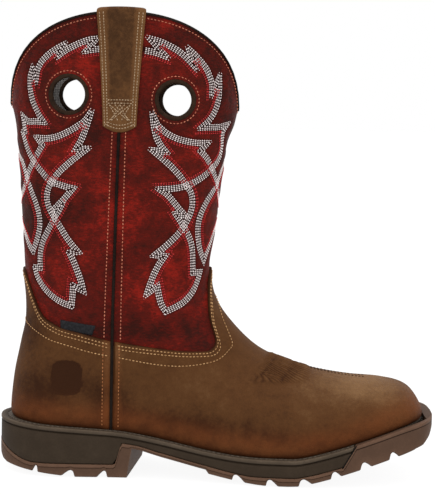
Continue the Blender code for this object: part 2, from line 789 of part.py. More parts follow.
def make_piping():
    """A narrow welt of leather down each side seam, from below the pull strap to the sole."""
    half = PIPING_WIDTH / 2
    profile = [(-half, GAP), (-half, 0.6 * PIPING_PROUD), (-half * 0.45, PIPING_PROUD)]
    profile += [(-across, out) for across, out in reversed(profile)]
    for name, side in SIDES.items():
        rows = GRIDS[name][0][SEAM_COLUMN]
        top = (STRAP_LENGTH + GAP) * ANKLE / (LEG_HEIGHT + COLLAR_RISE)
        rows = np.concatenate([[top], rows[rows > top + 0.01]])
        loops = []
        for ring in rows:
            loop = [
                skin(ring, angle_at(ring, seam_at(ring) + across, side), np.array(out))
                for across, out in profile
            ]
            if ring == rows[-1]:
                loop = [(p[0], p[1], on_stations(seat, p[0]) + FEATHER_GAP) for p in loop]
            loops.append(loop)
        add_object("piping_" + name, *tube(loops, closed=False), ((0.045, 0.032, 0.026), 0.6))


def make_collar_binding():
    """A folded strip over the collar's edge, outside, over the top and inside."""
    down, cover, shoulder = BINDING_EDGE, BINDING_COVER, BINDING_SHOULDER
    far = -WALL
    profile = [
        (GAP, down),
        (GAP + BINDING, down),
        (GAP + BINDING, shoulder),
        (0.2 * MM, 0.0),
        (far - 0.2 * MM, 0.0),
        (far - GAP - BINDING, shoulder),
        (far - GAP - BINDING, down),
        (far - GAP, down),
        (far - GAP, cover),
        (GAP, cover),
    ]
    angles = whole_ring()[1][:, 0]
    loops = [[skin(ring, a, np.array(out)) for out, ring in profile] for a in angles]
    add_object("collar_binding", *tube(loops, closed=True), ((0.045, 0.032, 0.026), 0.6))


def make_hole_bindings():
    """Round leather bindings that line the pull holes."""
    outer, inner = HOLE_RADIUS - GAP, HOLE_RADIUS - GAP - HOLE_BINDING
    low, high = -WALL - HOLE_PROUD, HOLE_PROUD
    corners = [(outer, low), (outer, high), (inner, high), (inner, low)]
    for name, side in SIDES.items():
        for hole in HOLES:
            rings = [hole_ring(hole, side, radius, offset, 20) for radius, offset in corners]
            loops = [[ring[i] for ring in rings] for i in range(20)]
            add_object(
                "hole_binding_" + hole.name + "_" + name,
                *tube(loops, closed=True),
                ((0.06, 0.035, 0.022), 0.6),
            )


def strap_place(across, down, offset, side):
    """A point of a pull strap: down is counted along the shaft from the collar, above it negative."""
    reach = LEG_HEIGHT + COLLAR_RISE
    ring = np.clip(down / reach * ANKLE, 0, None)
    middle = SEAM * SOLE_LENGTH + STRAP_FORWARD
    taper = 1 - (1 - np.clip(down / (1.1 * STRAP_LENGTH), 0, 1)) ** 1.4
    width = STRAP_TOP_WIDTH + (STRAP_END_WIDTH - STRAP_TOP_WIDTH) * taper
    angle = angle_at(ring, middle + across * width / 2, side)
    point = skin(ring, angle, np.array(offset))
    return point + np.array([0, 0, max(-down, 0)])


def make_straps():
    """A pull strap on each side: down the outside, over the collar and down the inside."""
    rim = GAP + BINDING + GAP
    middle = -WALL / 2
    reach = rim - middle
    steps = [STRAP_LENGTH, 0.9 * STRAP_LENGTH, 0.75 * STRAP_LENGTH, 0.5 * STRAP_LENGTH]
    steps += [0.25 * STRAP_LENGTH, 0.08 * STRAP_LENGTH]
    for name, side in SIDES.items():
        rows = []
        for share, thick in ((0.0, 0.0), (1.0, STRAP_THICKNESS)):
            row = []
            for down in steps:
                near = ease(1 - down / (0.35 * STRAP_LENGTH))
                row.append((down, GAP + (rim - GAP) * near + thick, down > 0.95 * STRAP_LENGTH))
            for turn in np.linspace(0, math.pi, 7):
                out, up = math.cos(turn) * (reach + thick), math.sin(turn) * (STRAP_LIFT + thick)
                row.append((-up + (0.4 * MM if up < 1e-6 else 0), middle + out, False))
            for down in reversed(steps):
                down = down * STRAP_INSIDE / STRAP_LENGTH
                near = ease(1 - down / (0.35 * STRAP_INSIDE))
                inside = -WALL - GAP - (rim - GAP) * near - thick
                row.append((down, inside, down > 0.95 * STRAP_INSIDE))
            rows.append(row)
        grids = []
        for row in rows:
            grid = []
            for across in (-1.0, -0.6, 0.0, 0.6, 1.0):
                cut = STRAP_TIP * across**2
                places = [(down - cut if tip else down, offset) for down, offset, tip in row]
                grid.append([strap_place(across, down, offset, side) for down, offset in places])
            grids.append(np.array(grid))
        add_object(
            "pull_strap_" + name, *shell(grids[1], grids[0], closed=False), ((0.12, 0.07, 0.04), 0.6)
        )


def main():
    for obj in list(bpy.data.objects):
        bpy.data.objects.remove(obj, do_unlink=True)
    make_outsole()
    make_midsole()
    make_welt()
    make_insole()
    make_upper()
    make_overlays()
    make_piping()
    make_collar_binding()
    make_hole_bindings()
    make_straps()


main()
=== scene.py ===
"""A pull-on western work boot for the right foot, with its leathers, threads, lining and sole.

Frame: metres, +X to the toe, +Y to the inner (medial) side, +Z up. In this file lengths along the
boot are counted from the back of the heel, and place() moves them into the frame. The upper is one
skin, a function of a ring number (0 at the collar, 1 on the welt) and of an angle round the leg (0 in
front, pi behind, positive on the outer side). All leather, trim and stitches are set out on that skin.
"""

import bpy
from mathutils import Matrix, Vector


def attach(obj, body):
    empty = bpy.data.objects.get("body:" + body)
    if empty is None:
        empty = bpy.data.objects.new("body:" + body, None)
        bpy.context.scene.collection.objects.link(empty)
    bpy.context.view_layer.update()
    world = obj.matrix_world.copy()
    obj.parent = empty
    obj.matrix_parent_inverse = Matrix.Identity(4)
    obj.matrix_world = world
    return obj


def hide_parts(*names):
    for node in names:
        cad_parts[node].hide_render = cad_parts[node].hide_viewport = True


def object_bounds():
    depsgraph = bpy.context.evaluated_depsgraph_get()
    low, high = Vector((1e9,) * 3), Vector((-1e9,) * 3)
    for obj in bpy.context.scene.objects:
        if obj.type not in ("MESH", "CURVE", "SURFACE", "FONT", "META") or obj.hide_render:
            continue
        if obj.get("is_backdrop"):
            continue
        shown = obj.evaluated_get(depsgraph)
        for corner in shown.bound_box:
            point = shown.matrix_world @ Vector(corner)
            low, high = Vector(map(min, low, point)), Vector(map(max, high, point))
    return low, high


bl_info = {
    "name": "Western Work Boot",
    "version": (1, 0, 0),
    "blender": (4, 5, 0),
    "location": "3D View > Sidebar > Boot",
    "description": "Builds the leathers, stitches, lining and sole of a pull-on western work boot",
    "category": "Add Mesh",
}

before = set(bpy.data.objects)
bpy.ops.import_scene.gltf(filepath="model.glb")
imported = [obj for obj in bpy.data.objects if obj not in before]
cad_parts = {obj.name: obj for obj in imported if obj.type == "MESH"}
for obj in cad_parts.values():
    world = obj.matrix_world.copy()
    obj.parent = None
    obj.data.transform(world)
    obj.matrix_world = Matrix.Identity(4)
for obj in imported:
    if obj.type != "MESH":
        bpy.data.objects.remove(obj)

import math
from collections import namedtuple

import bpy
import numpy as np
from mathutils import Matrix

CAD_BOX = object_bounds()

MM = 0.001
PICTURE_HEIGHT = 495.0

# Sizes of the sole, as in the CAD model
SOLE_LENGTH = 310.0 * MM
BALL_WIDTH = 109.0 * MM
HEEL_HEIGHT = 37.8 * MM
HEEL_DROP = 4.8 * MM
HEEL_BEVEL = 6.5 * MM
FOREFOOT_THICKNESS = 18.5 * MM
TOE_SPRING = 32.5 * MM
SHANK_RISE = 6.2 * MM
HEEL_ROUND = 42.0 * MM
TOE_ROUND = 34.0 * MM
HEEL_SQUARE = 2.1
TOE_SQUARE = 2.9
WELT_THICKNESS = 2.8 * MM
OUTSOLE_THICKNESS = 6.2 * MM
SHANK_THICKNESS = 3.2 * MM
HEEL_BASE = 9.5 * MM
HEEL_CURL = 12.0 * MM
TREAD_DEPTH = 4.6 * MM
BREAST_SKEW = 7.6 * MM
BUMPER_WALL = 4.4 * MM
SPRING_POWER = 1.25
TIP_DROP = 4.2 * MM
THINNEST = 0.6 * MM

# Sizes of the upper, as in the CAD model
WALL = 2.2 * MM
OVERLAY = 1.5 * MM
FOOT_HEIGHT = 110.0 * MM
LEG_HEIGHT = 112.0 * MM
COLLAR_RISE = 65.5 * MM
SHAFT_DEPTH = 161.0 * MM
SHAFT_WIDTH = 83.0 * MM
FEATHER_INSET = 8.0 * MM
SIDE_BULGE = 1.6 * MM
THROAT_DROP = 5.0 * MM
BEND_DROP = 2.2 * MM

# Trim, as in the CAD model
GAP = 0.3 * MM
FEATHER_GAP = 0.6 * MM
PIPING_WIDTH = 2.2 * MM
PIPING_PROUD = 2.1 * MM
BINDING = 0.8 * MM
HOLE_RADIUS = 13.0 * MM
STRAP_THICKNESS = 1.9 * MM
STRAP_LENGTH = 82.0 * MM
STRAP_INSIDE = 66.0 * MM
STRAP_TIP = 4.5 * MM
STRAP_LIFT = 0.8 * MM
STRAP_TOP_WIDTH = 33.4 * MM
STRAP_END_WIDTH = 22.3 * MM
STRAP_FORWARD = 2.8 * MM

# Places along the boot, as shares of the sole's length
SHANK_START, SHANK_END = 0.256, 0.607
SPRING_START = 0.68
TIP_START = 0.90
REAR_RISE_START, REAR_RISE_END = 0.48, 0.623
BEVEL_END = 0.182
BREAST = 0.305
SKEW_START, SKEW_FULL, SKEW_FALLS, SKEW_END = 0.17, 0.25, 0.33, 0.45
HEEL_PARTING_END, HEEL_PARTING_BLEND, PARTING_JOINT = 0.272, 0.018, 0.30
HEEL_CURL_END = 0.09
BUMPER_START = 0.802
SEAM = 0.262
SEAM_LEAN, SEAM_LEAN_END = 0.0145, 0.66
SHAFT_AXIS = 0.2636

# The collar ring is at 0, the ring through the throat at ANKLE and the ring on the welt at 1
ANKLE = 0.5
COLLAR_POWER = 2.1
SHAFT_SQUARE = 2.1
RIM = 0.0030
BINDING_EDGE = 0.0052
COLLAR_ROW = 0.0118
BUMPER_TOP = 7.0 * MM
LEG_SHAPE_START, LEG_SHAPE_SPAN = 0.12, 0.75
BULGE_TOP = 0.5

Outline = namedtuple("Outline", "along lateral medial")
SOLE_OUTLINE = [  # along is a share of the sole's length, the sides are shares of half the ball width
    Outline(0.00, 0.715, 0.705),
    Outline(0.16, 0.745, 0.730),
    Outline(0.30, 0.720, 0.660),
    Outline(0.40, 0.745, 0.600),
    Outline(0.50, 0.860, 0.670),
    Outline(0.60, 0.975, 0.840),
    Outline(0.67, 1.000, 0.955),
    Outline(0.74, 0.990, 1.000),
    Outline(0.83, 0.945, 0.985),
    Outline(0.92, 0.885, 0.945),
    Outline(1.00, 0.865, 0.860),
]

LegRing = namedtuple("LegRing", "ring height back front width roundness")
LEG_RINGS = [  # height is a share of the leg, back, front and width of the shaft's depth and width
    LegRing(0.00, 1.00, -0.478, 0.520, 1.000, 0.503),
    LegRing(0.05, 0.90, -0.461, 0.505, 0.995, 0.495),
    LegRing(0.10, 0.80, -0.452, 0.479, 0.985, 0.485),
    LegRing(0.17, 0.66, -0.442, 0.465, 0.970, 0.475),
    LegRing(0.27, 0.46, -0.431, 0.448, 0.945, 0.460),
    LegRing(0.38, 0.24, -0.420, 0.433, 0.915, 0.445),
    LegRing(0.50, 0.00, -0.410, 0.411, 0.880, 0.420),
]

FootRing = namedtuple(
    "FootRing", "ring back back_rise front front_rise bend bend_rise ridge_round toe_square back_round"
)
FOOT_RINGS = [  # places are shares of the sole's length, rises and rounds are shares of the foot's height
    FootRing(0.58, 0.0585, 0.780, 0.484, 0.846, 0.313, 0.690, 0.62, 2.05, 0.54),
    FootRing(0.66, 0.0588, 0.627, 0.521, 0.699, 0.390, 0.460, 0.66, 2.00, 0.46),
    FootRing(0.74, 0.0500, 0.500, 0.602, 0.527, 0.511, 0.275, 0.56, 2.00, 0.40),
    FootRing(0.80, 0.0410, 0.377, 0.690, 0.450, 0.613, 0.175, 0.47, 2.10, 0.36),
    FootRing(0.86, 0.0345, 0.264, 0.799, 0.352, 0.722, 0.100, 0.36, 2.25, 0.33),
    FootRing(0.91, 0.0305, 0.161, 0.887, 0.268, 0.805, 0.050, 0.30, 2.40, 0.31),
    FootRing(0.95, 0.0285, 0.085, 0.945, 0.170, 0.863, 0.022, 0.27, 2.50, 0.30),
    FootRing(0.98, 0.0285, 0.032, 0.968, 0.064, 0.895, 0.007, 0.26, 2.60, 0.30),
    FootRing(1.00, 0.0307, 0.000, 0.975, 0.000, 0.911, 0.000, 0.26, 2.60, 0.30),
]

Edge = namedtuple("Edge", "around ring")
FOOT_EDGE = [  # top edge of the foot leather: around is 0 at the front, 1 at the side seam, 2 at the back
    Edge(0.00, 0.503),
    Edge(0.12, 0.545),
    Edge(0.22, 0.590),
    Edge(0.32, 0.632),
    Edge(0.41, 0.677),
    Edge(0.50, 0.692),
    Edge(0.62, 0.689),
    Edge(0.80, 0.678),
    Edge(1.00, 0.666),
    Edge(1.22, 0.652),
    Edge(1.45, 0.641),
    Edge(1.60, 0.618),
    Edge(1.72, 0.568),
    Edge(1.84, 0.512),
    Edge(2.00, 0.495),
]

Parting = namedtuple("Parting", "along under_seat")
PARTING = [  # depth of the midsole's lower edge under the welt's top, ahead of the heel
    Parting(0.33, 7.2 * MM),
    Parting(0.37, 8.6 * MM),
    Parting(0.48, 9.8 * MM),
    Parting(0.58, FOREFOOT_THICKNESS - OUTSOLE_THICKNESS),
]

Lug = namedtuple("Lug", "name start end")
LUGS = [  # blocks of the tread, as shares of the sole's length, with a channel after each
    Lug("heel edge", 0.0192, 0.0863),
    Lug("heel back", 0.0990, 0.1535),
    Lug("heel middle", 0.1832, 0.2332),
    Lug("heel front", 0.2571, 0.3010),
    Lug("ball back", 0.4860, 0.5400),
    Lug("ball", 0.5681, 0.6158),
    Lug("ball front", 0.6426, 0.6894),
    Lug("tread", 0.7184, 0.7610),
    Lug("toe back", 0.7842, 0.8268),
    Lug("toe", 0.8519, 0.8919),
    Lug("toe tip", 0.9135, 0.9520),
]

Nose = namedtuple("Nose", "inward above")
HEEL_NOSE = [  # rounded edge of the tread at the heel's back, above the tread's lowest line
    Nose(0.0 * MM, 8.0 * MM),
    Nose(1.2 * MM, 3.2 * MM),
    Nose(3.2 * MM, 1.0 * MM),
]
TOE_NOSE = [  # rounded edge of the tread at the toe
    Nose(9.0 * MM, 0.0 * MM),
    Nose(4.0 * MM, 3.0 * MM),
    Nose(1.3 * MM, 7.0 * MM),
    Nose(0.0 * MM, 14.0 * MM),
]

Hole = namedtuple("Hole", "name along height")
HOLES = [  # centres, as shares of the sole's length and of the leg's height above the throat
    Hole("back", 0.1556, 1.068),
    Hole("front", 0.3933, 1.049),
]

SIDES = {"lateral": 1.0, "medial": -1.0}

# The stitched pattern of one half of a side, in millimetres on the leather: the first number is the
# distance ahead of the side seam, the second the height. Each line of a pattern is a list of strokes,
# and each stroke starts where the last one ended, at a corner.
BACK_LINE = [
    [(-8, 299), (-15, 298.5), (-21, 297.5)],
    [(-14.5, 305.5)],
    [(-20, 304.6), (-25, 302.8), (-30, 300.6), (-35, 298), (-41, 294)],
    [(-37.5, 301)],
    [(-41, 299.3), (-45, 297), (-50, 293.5), (-54, 289.7), (-57, 285), (-58.7, 277)],
    [(-62, 284.5)],
    [(-63.6, 280), (-64, 275), (-63.3, 269), (-61.5, 263), (-59, 257.5), (-55.7, 252), (-52.5, 248)],
    [(-60, 248.2), (-67, 248.2), (-72.5, 251.5)],
    [(-71.5, 246), (-70.3, 241)],
    [(-74, 240.3)],
    [(-71.5, 236), (-69.3, 231.5), (-66.3, 226.5), (-61.5, 220.5), (-57.3, 216.3), (-52.5, 211.8),
     (-48.7, 208.4), (-44.5, 206), (-40, 205), (-35, 203.7), (-29.5, 202.6)],
    [(-32.5, 199), (-36, 195), (-39.5, 191.5), (-43, 188)],
    [(-38.5, 189.5)],
    [(-41, 185), (-43.5, 181.5), (-46, 176.5), (-49.5, 170.5), (-52.5, 165), (-54.5, 159),
     (-55.3, 152), (-55, 145.5)],
    [(-60.5, 145.2)],
    [(-58.8, 140.5), (-55, 135), (-49.5, 129.7), (-43.5, 125.5), (-37, 122.3), (-29.5, 120.3)],
    [(-28.8, 127), (-28.5, 134.5)],
    [(-21, 131.3)],
    [(-23, 138.5), (-25.5, 145), (-28.3, 151.5), (-31.5, 157.5)],
    [(-25.3, 158.5)],
    [(-29.5, 163), (-34, 168.5), (-38.5, 175), (-43.5, 182), (-47.7, 188.5), (-49.6, 196),
     (-48.5, 201.5), (-45, 207.5), (-40, 213.5), (-34, 219), (-27, 224.7), (-19.8, 230.3)],
    [(-27.5, 230)],
    [(-24.8, 234.5), (-22, 241), (-19.6, 248), (-17.6, 254.8)],
    [(-22, 249), (-27, 245.5), (-33, 242), (-40, 238.8), (-48, 236.8), (-58, 236.8)],
    [(-53.5, 232)],
    [(-57, 227), (-61.5, 220.5), (-65.5, 215), (-69, 208.7), (-74, 201), (-87, 192.5)],
]
BACK_LEAF = [
    [(-92, 228), (-84, 224), (-76, 219.5), (-69.5, 209), (-64.5, 200), (-60, 192), (-57, 185),
     (-55.7, 177), (-57, 169.5), (-59.5, 163), (-62.5, 156.5)],
    [(-67, 160.5), (-73, 167.5), (-85.5, 177)],
]
FRONT_LINE = [
    [(19, 298.6), (26, 297.4), (33.5, 295)],
    [(22.8, 306.5)],
    [(29, 305), (35, 302.6), (40, 300.2), (46, 296.3), (51, 292), (55, 288)],
    [(50, 300)],
    [(54.5, 296.3), (59, 292), (63.5, 286.8), (66.5, 281), (68, 276), (68, 270.5)],
    [(74, 281.8)],
    [(74.3, 275), (74, 269), (72.7, 263), (70.5, 257.5), (67, 252), (61, 246.7)],
    [(68, 247), (76, 247.2), (85.5, 249)],
    [(82.5, 244), (83, 238), (83.5, 233), (82, 228.5), (78, 223), (72.3, 218.3), (67, 214.3),
     (61, 210.7), (54, 207.3), (48, 205.3), (40, 204), (31.5, 203.4)],
    [(36.5, 200), (41.5, 194.7), (45.5, 190), (50, 185.5)],
    [(43.5, 186)],
    [(46.5, 181.8), (49.5, 177.5), (52.7, 172.5), (55.5, 167), (57.3, 160), (58, 152), (58.3, 144.5)],
    [(65.3, 144.5)],
    [(63.3, 139.5), (60.5, 134), (56, 128.5), (50.5, 123.8), (44, 120.5), (37.5, 117.7)],
    [(34.3, 122.5), (32.5, 128.5), (31, 135.5)],
    [(24, 130.5)],
    [(26, 137), (28.5, 144), (31.8, 150.5), (36, 156.7)],
    [(28.8, 157.4)],
    [(34.5, 162), (40.5, 167.3), (45.5, 172.3), (49.5, 177.5), (53, 183.5), (55.3, 189.5),
     (55.8, 196), (54.3, 201.5), (51, 206), (46.5, 211.8), (41, 217.7), (34, 223.8), (26, 230.3)],
    [(35, 229.5)],
    [(31.8, 233.3), (28.8, 238.5), (26.8, 245.5), (25.5, 254.3)],
    [(29, 247.8), (34, 243.3), (41, 239.5), (49, 237.2), (58, 236), (67, 236)],
    [(61, 230.3)],
    [(65.5, 226.5), (69, 222.5), (72.3, 218), (76, 213), (80, 207.5), (84.5, 200), (90.6, 192)],
]
FRONT_LEAF = [
    [(96, 222), (87.5, 217), (83, 211.5), (78.5, 205), (73.5, 200.5), (68.5, 194.7), (65, 189.3),
     (62.3, 183.3), (61.3, 178), (61.3, 173), (62, 168), (63.5, 162.5), (66, 157.3), (69.3, 152.3)],
    [(73, 158.5), (76.5, 164), (80, 170), (88.5, 180)],
]
Pattern = namedtuple("Pattern", "strokes red_side")
PATTERNS = [  # red_side is 1 where the red rows lie on the left of the way the line is written
    Pattern(BACK_LINE, 1),
    Pattern(BACK_LEAF, -1),
    Pattern(FRONT_LINE, -1),
    Pattern(FRONT_LEAF, 1),
]
LIGHT_ROWS = [-1.8 * MM, -0.6 * MM, 0.6 * MM, 1.8 * MM]
RED_ROWS = [3.1 * MM, 4.2 * MM]
STROKE_STEP = 0.3 * MM

Crease = namedtuple("Crease", "x z length turn width depth")
# All numbers of the crease and patch tables are millimetres, but for turn (degrees) and strength.
FOOT_CREASES = [  # soft troughs (depth over 0) and swells (under 0) of the foot leather, in the side view
    Crease(168, 84, 20, -38, 6.0, 0.55),
    Crease(178, 78, 22, -34, 6.0, -0.45),
    Crease(118, 66, 30, -12, 9.0, 0.45),
    Crease(140, 60, 34, -22, 8.0, -0.40),
    Crease(222, 42, 24, 72, 7.0, 0.35),
    Crease(238, 46, 20, 64, 6.0, -0.30),
    Crease(30, 84, 18, 12, 7.0, 0.35),
    Crease(95, 62, 20, 82, 8.0, 0.35),
]
LEG_CREASES = [  # the same on the leg, where x is the distance ahead of the side seam
    Crease(40, 112, 26, 6, 3.2, 0.40),
    Crease(46, 103, 24, 10, 3.0, 0.45),
    Crease(-38, 122, 22, -8, 3.4, 0.35),
    Crease(-50, 110, 20, -12, 3.0, 0.40),
    Crease(78, 138, 16, 14, 3.4, 0.45),
    Crease(82, 124, 14, 18, 3.0, 0.45),
    Crease(12, 190, 26, 86, 5.0, 0.25),
    Crease(-14, 170, 28, 94, 5.0, 0.25),
    Crease(44, 262, 22, 80, 6.0, 0.20),
]

Patch = namedtuple("Patch", "x z across up strength")
LEG_PATCHES = [  # lighter (over 0) and darker (under 0) places of the leg leather, partly its uneven tone and partly painted highlights and painted shade
    Patch(-22, 285, 12, 10, 0.22),
    Patch(40, 286, 26, 12, 0.12),
    Patch(0, 190, 12, 70, 0.18),
    Patch(38, 140, 20, 30, 0.16),
    Patch(-40, 142, 16, 26, 0.12),
    Patch(55, 222, 26, 16, 0.08),
    Patch(-50, 222, 24, 14, 0.06),
    Patch(66, 312, 26, 16, -0.16),
    Patch(-62, 306, 26, 16, -0.14),
    Patch(88, 250, 12, 40, -0.06),
    Patch(-86, 250, 14, 60, -0.06),
    Patch(30, 258, 20, 12, -0.10),
    Patch(70, 178, 16, 34, -0.02),
    Patch(-68, 180, 14, 30, -0.12),
    Patch(20, 104, 50, 8, -0.20),
]
FOOT_PATCHES = [  # the same on the foot leather, in the side view, also partly painted highlights and painted shade
    Patch(255, 66, 34, 10, 0.32),
    Patch(160, 72, 34, 16, 0.03),
    Patch(60, 62, 30, 18, -0.06),
    Patch(30, 60, 20, 20, -0.16),
    Patch(82, 52, 12, 20, -0.22),
    Patch(120, 40, 60, 8, -0.16),
    Patch(200, 32, 70, 8, -0.14),
    Patch(196, 74, 20, 7, -0.06),
    Patch(284, 50, 18, 14, 0.02),
    Patch(20, 104, 14, 16, -0.14),
]

Ridge = namedtuple("Ridge", "x_low x_high")
INSTEP_RIDGES = [  # raised ribs over the instep, from low on the side to the ridge line
    Ridge(178.4 * MM, 191.4 * MM),
    Ridge(184.0 * MM, 197.0 * MM),
    Ridge(188.4 * MM, 201.8 * MM),
    Ridge(193.3 * MM, 205.9 * MM),
    Ridge(196.7 * MM, 210.0 * MM),
    Ridge(202.6 * MM, 215.9 * MM),
    Ridge(208.2 * MM, 221.0 * MM),
    Ridge(212.7 * MM, 223.8 * MM),
]
RIDGE_LOW, RIDGE_HIGH = 68 * MM, 80 * MM
RIDGE_HEIGHT = 1.0 * MM
RIDGE_WIDTH = 1.35 * MM

BADGE_X, BADGE_Z = 50.0 * MM, 69.8 * MM
BADGE_HALF_WIDTH, BADGE_HALF_HEIGHT = 10.4 * MM, 12.2 * MM
BADGE_SQUARE = 3.2
BADGE_DEPTH, BADGE_LINE = 0.45 * MM, 0.25 * MM

LABEL_CORNERS = [(44.5, 110.2), (69.5, 107.0), (67.2, 100.2), (44.8, 103.6)]

EDGE_ROWS = [2.3 * MM, 4.9 * MM]
EDGE_ROW_PRESS = 0.16 * MM
THIRD_ROW = [  # the third stitch row of the foot leather: around as in FOOT_EDGE, then the ring
    (0.00, 0.589), (0.07, 0.618), (0.17, 0.647), (0.25, 0.678), (0.30, 0.695), (0.41, 0.706),
    (0.52, 0.714), (0.64, 0.718), (0.80, 0.723), (1.00, 0.717), (1.12, 0.714), (1.30, 0.704),
    (1.47, 0.699), (1.61, 0.685), (1.82, 0.666), (2.00, 0.655),
]
RIDGE_ROW_START, RIDGE_ROW_END = 0.805, 0.885


def smooth(knots, values, at):
    """A smooth curve through a table's points: cubic pieces whose slopes are those of the table."""
    knots, values = np.asarray(knots, float), np.asarray(values, float)
    slopes = np.gradient(values, knots)
    i = np.clip(np.searchsorted(knots, at, side="right") - 1, 0, len(knots) - 2)
    step = knots[i + 1] - knots[i]
    u = (at - knots[i]) / step
    u2, u3 = u * u, u * u * u
    return (
        (2 * u3 - 3 * u2 + 1) * values[i]
        + (u3 - 2 * u2 + u) * step * slopes[i]
        + (3 * u2 - 2 * u3) * values[i + 1]
        + (u3 - u2) * step * slopes[i + 1]
    )


def ease(u):
    """Zero before 0, one after 1, smooth between."""
    u = np.clip(u, 0.0, 1.0)
    return u * u * (3.0 - 2.0 * u)


def rounding(depth, radius, square=2.0):
    """Share of the full height at a depth behind an edge that is rounded off over a radius."""
    inside = np.clip(1.0 - depth / radius, 0.0, 1.0)
    return (1.0 - inside**square) ** (1.0 / square)


def bell(away, width, power=2):
    """One in the middle, falling smoothly to a third at a width away from it, flatter for more power."""
    return np.exp(-(np.abs(away / width) ** power))


def unit(way):
    """Directions of length one."""
    return way / np.linalg.norm(way, axis=-1, keepdims=True)


def run_along(line):
    """Length of a line of points from its start to each of them."""
    return np.concatenate([[0], np.cumsum(np.linalg.norm(np.diff(line, axis=0), axis=1))])


def on_line(line, run, at):
    """Points of a line at given lengths from its start."""
    return np.stack([np.interp(at, run, values) for values in line.T], axis=1)


def column(rows, name):
    """One named column of a table."""
    return np.array([getattr(row, name) for row in rows])


# Sole: heights above the floor along the boot


def toe_share(x):
    """Zero behind the ball, growing to one at the toe."""
    return np.clip((x / SOLE_LENGTH - SPRING_START) / (1 - SPRING_START), 0, None) ** SPRING_POWER


def spring(x):
    """Height of the tread's lowest line: flat under heel and ball, lifted at back, shank and toe."""
    toe = toe_share(x)
    rear = np.clip(
        (REAR_RISE_END - x / SOLE_LENGTH) / (REAR_RISE_END - REAR_RISE_START), 0, None
    )
    rear = np.where(x > BREAST * SOLE_LENGTH * 1.2, rear**1.5, 0)
    bevel = np.clip(1 - x / (BEVEL_END * SOLE_LENGTH), 0, None) ** 1.2
    return TOE_SPRING * toe + SHANK_RISE * rear + HEEL_BEVEL * bevel


def seat(x):
    """Height of the welt's top, on which the upper stands."""
    toe = toe_share(x)
    fore = FOREFOOT_THICKNESS + TOE_SPRING * toe
    heel = HEEL_HEIGHT - HEEL_DROP * x / (SHANK_START * SOLE_LENGTH)
    blend = ease((x / SOLE_LENGTH - SHANK_START) / (SHANK_END - SHANK_START))
    tip = np.clip((x / SOLE_LENGTH - TIP_START) / (1 - TIP_START), 0, None) ** 2
    return heel + (fore - heel) * blend - TIP_DROP * tip


def parting(x):
    """Height of the line between the dark midsole and the brown outsole."""
    share = x / SOLE_LENGTH
    under = np.interp(share, column(PARTING, "along"), column(PARTING, "under_seat"))
    back = HEEL_BASE + HEEL_CURL * np.clip(1 - share / HEEL_CURL_END, 0, 1) ** 1.8
    rise = seat(x) - PARTING[0].under_seat - back
    heel = back + rise * ease((share - HEEL_PARTING_END) / HEEL_PARTING_BLEND)
    return np.where(share < PARTING_JOINT, heel, seat(x) - under)


def outline_share(x, side):
    """Full half width of the sole's outline, before heel and toe are rounded, at a place along it."""
    name = "lateral" if side > 0 else "medial"
    shares = column(SOLE_OUTLINE, name)
    return smooth(column(SOLE_OUTLINE, "along"), shares, np.clip(x / SOLE_LENGTH, 0, 1))


def half_width(x, side, inset=0.0):
    """Distance of the sole's edge from its middle line, at an inset, rounded at heel and toe."""
    full = outline_share(x, side) * BALL_WIDTH / 2 - inset
    back = rounding(x - inset, HEEL_ROUND - inset, HEEL_SQUARE)
    toe = rounding(SOLE_LENGTH - inset - x, TOE_ROUND - inset, TOE_SQUARE)
    return np.maximum(full * back * toe, THINNEST)


def skew(x, y):
    """How far a section of the sole is turned forward at a place across it, most at the breast."""
    share = x / SOLE_LENGTH
    turned = ease((share - SKEW_START) / (SKEW_FULL - SKEW_START))
    turned = turned * (1 - ease((share - SKEW_FALLS) / (SKEW_END - SKEW_FALLS)))
    return BREAST_SKEW * turned * (0.5 + y / (0.7 * BALL_WIDTH))


# Upper: one skin, a function of the ring and of the angle round the leg


def seam_at(ring):
    """Place of the side seam along the boot: upright on the foot, leaning forward up the leg."""
    lean = np.clip(1 - np.asarray(ring) / SEAM_LEAN_END, 0, 1) ** 1.5
    return (SEAM + SEAM_LEAN * lean) * SOLE_LENGTH


def ring_columns():
    """Both ring tables as arrays of real lengths over the ring number."""
    axis = SHAFT_AXIS * SOLE_LENGTH
    leg, foot = LEG_RINGS, FOOT_RINGS
    table = {"ring": np.concatenate([column(leg, "ring"), column(foot, "ring")])}
    back = axis + column(leg, "back") * SHAFT_DEPTH
    front = axis + column(leg, "front") * SHAFT_DEPTH
    rise = FOOT_HEIGHT + column(leg, "height") * LEG_HEIGHT
    length, height = SOLE_LENGTH, FOOT_HEIGHT

    def both(leg_part, name, size):
        return np.concatenate([leg_part, column(foot, name) * size])

    table["back"] = both(back, "back", length)
    table["front"] = both(front, "front", length)
    table["bend"] = both((back + front) / 2, "bend", length)
    low = 1 - column(leg, "height")
    table["back_rise"] = both(rise - THROAT_DROP * low, "back_rise", height)
    table["front_rise"] = both(rise, "front_rise", height)
    table["bend_rise"] = both(rise - BEND_DROP * low, "bend_rise", height)
    shaft_round = column(leg, "roundness") * SHAFT_DEPTH
    table["front_round"] = both(shaft_round, "ridge_round", height)
    table["back_round"] = both(shaft_round, "back_round", height)
    table["square"] = both(np.full(len(leg), SHAFT_SQUARE), "toe_square", 1.0)
    table["width"] = np.concatenate([column(leg, "width"), np.full(len(foot), leg[-1].width)])
    return table


RINGS = ring_columns()


def ring_value(name, ring):
    """A column of the ring table at any ring."""
    return smooth(RINGS["ring"], RINGS[name], ring)


def ring_base(ring, x):
    """The height that a ring's rises are counted from: the heel's seat, then more and more the welt."""
    share = np.clip((ring - ANKLE) / (1 - ANKLE), 0, 1)
    return (1 - share) * HEEL_HEIGHT + share * seat(x)


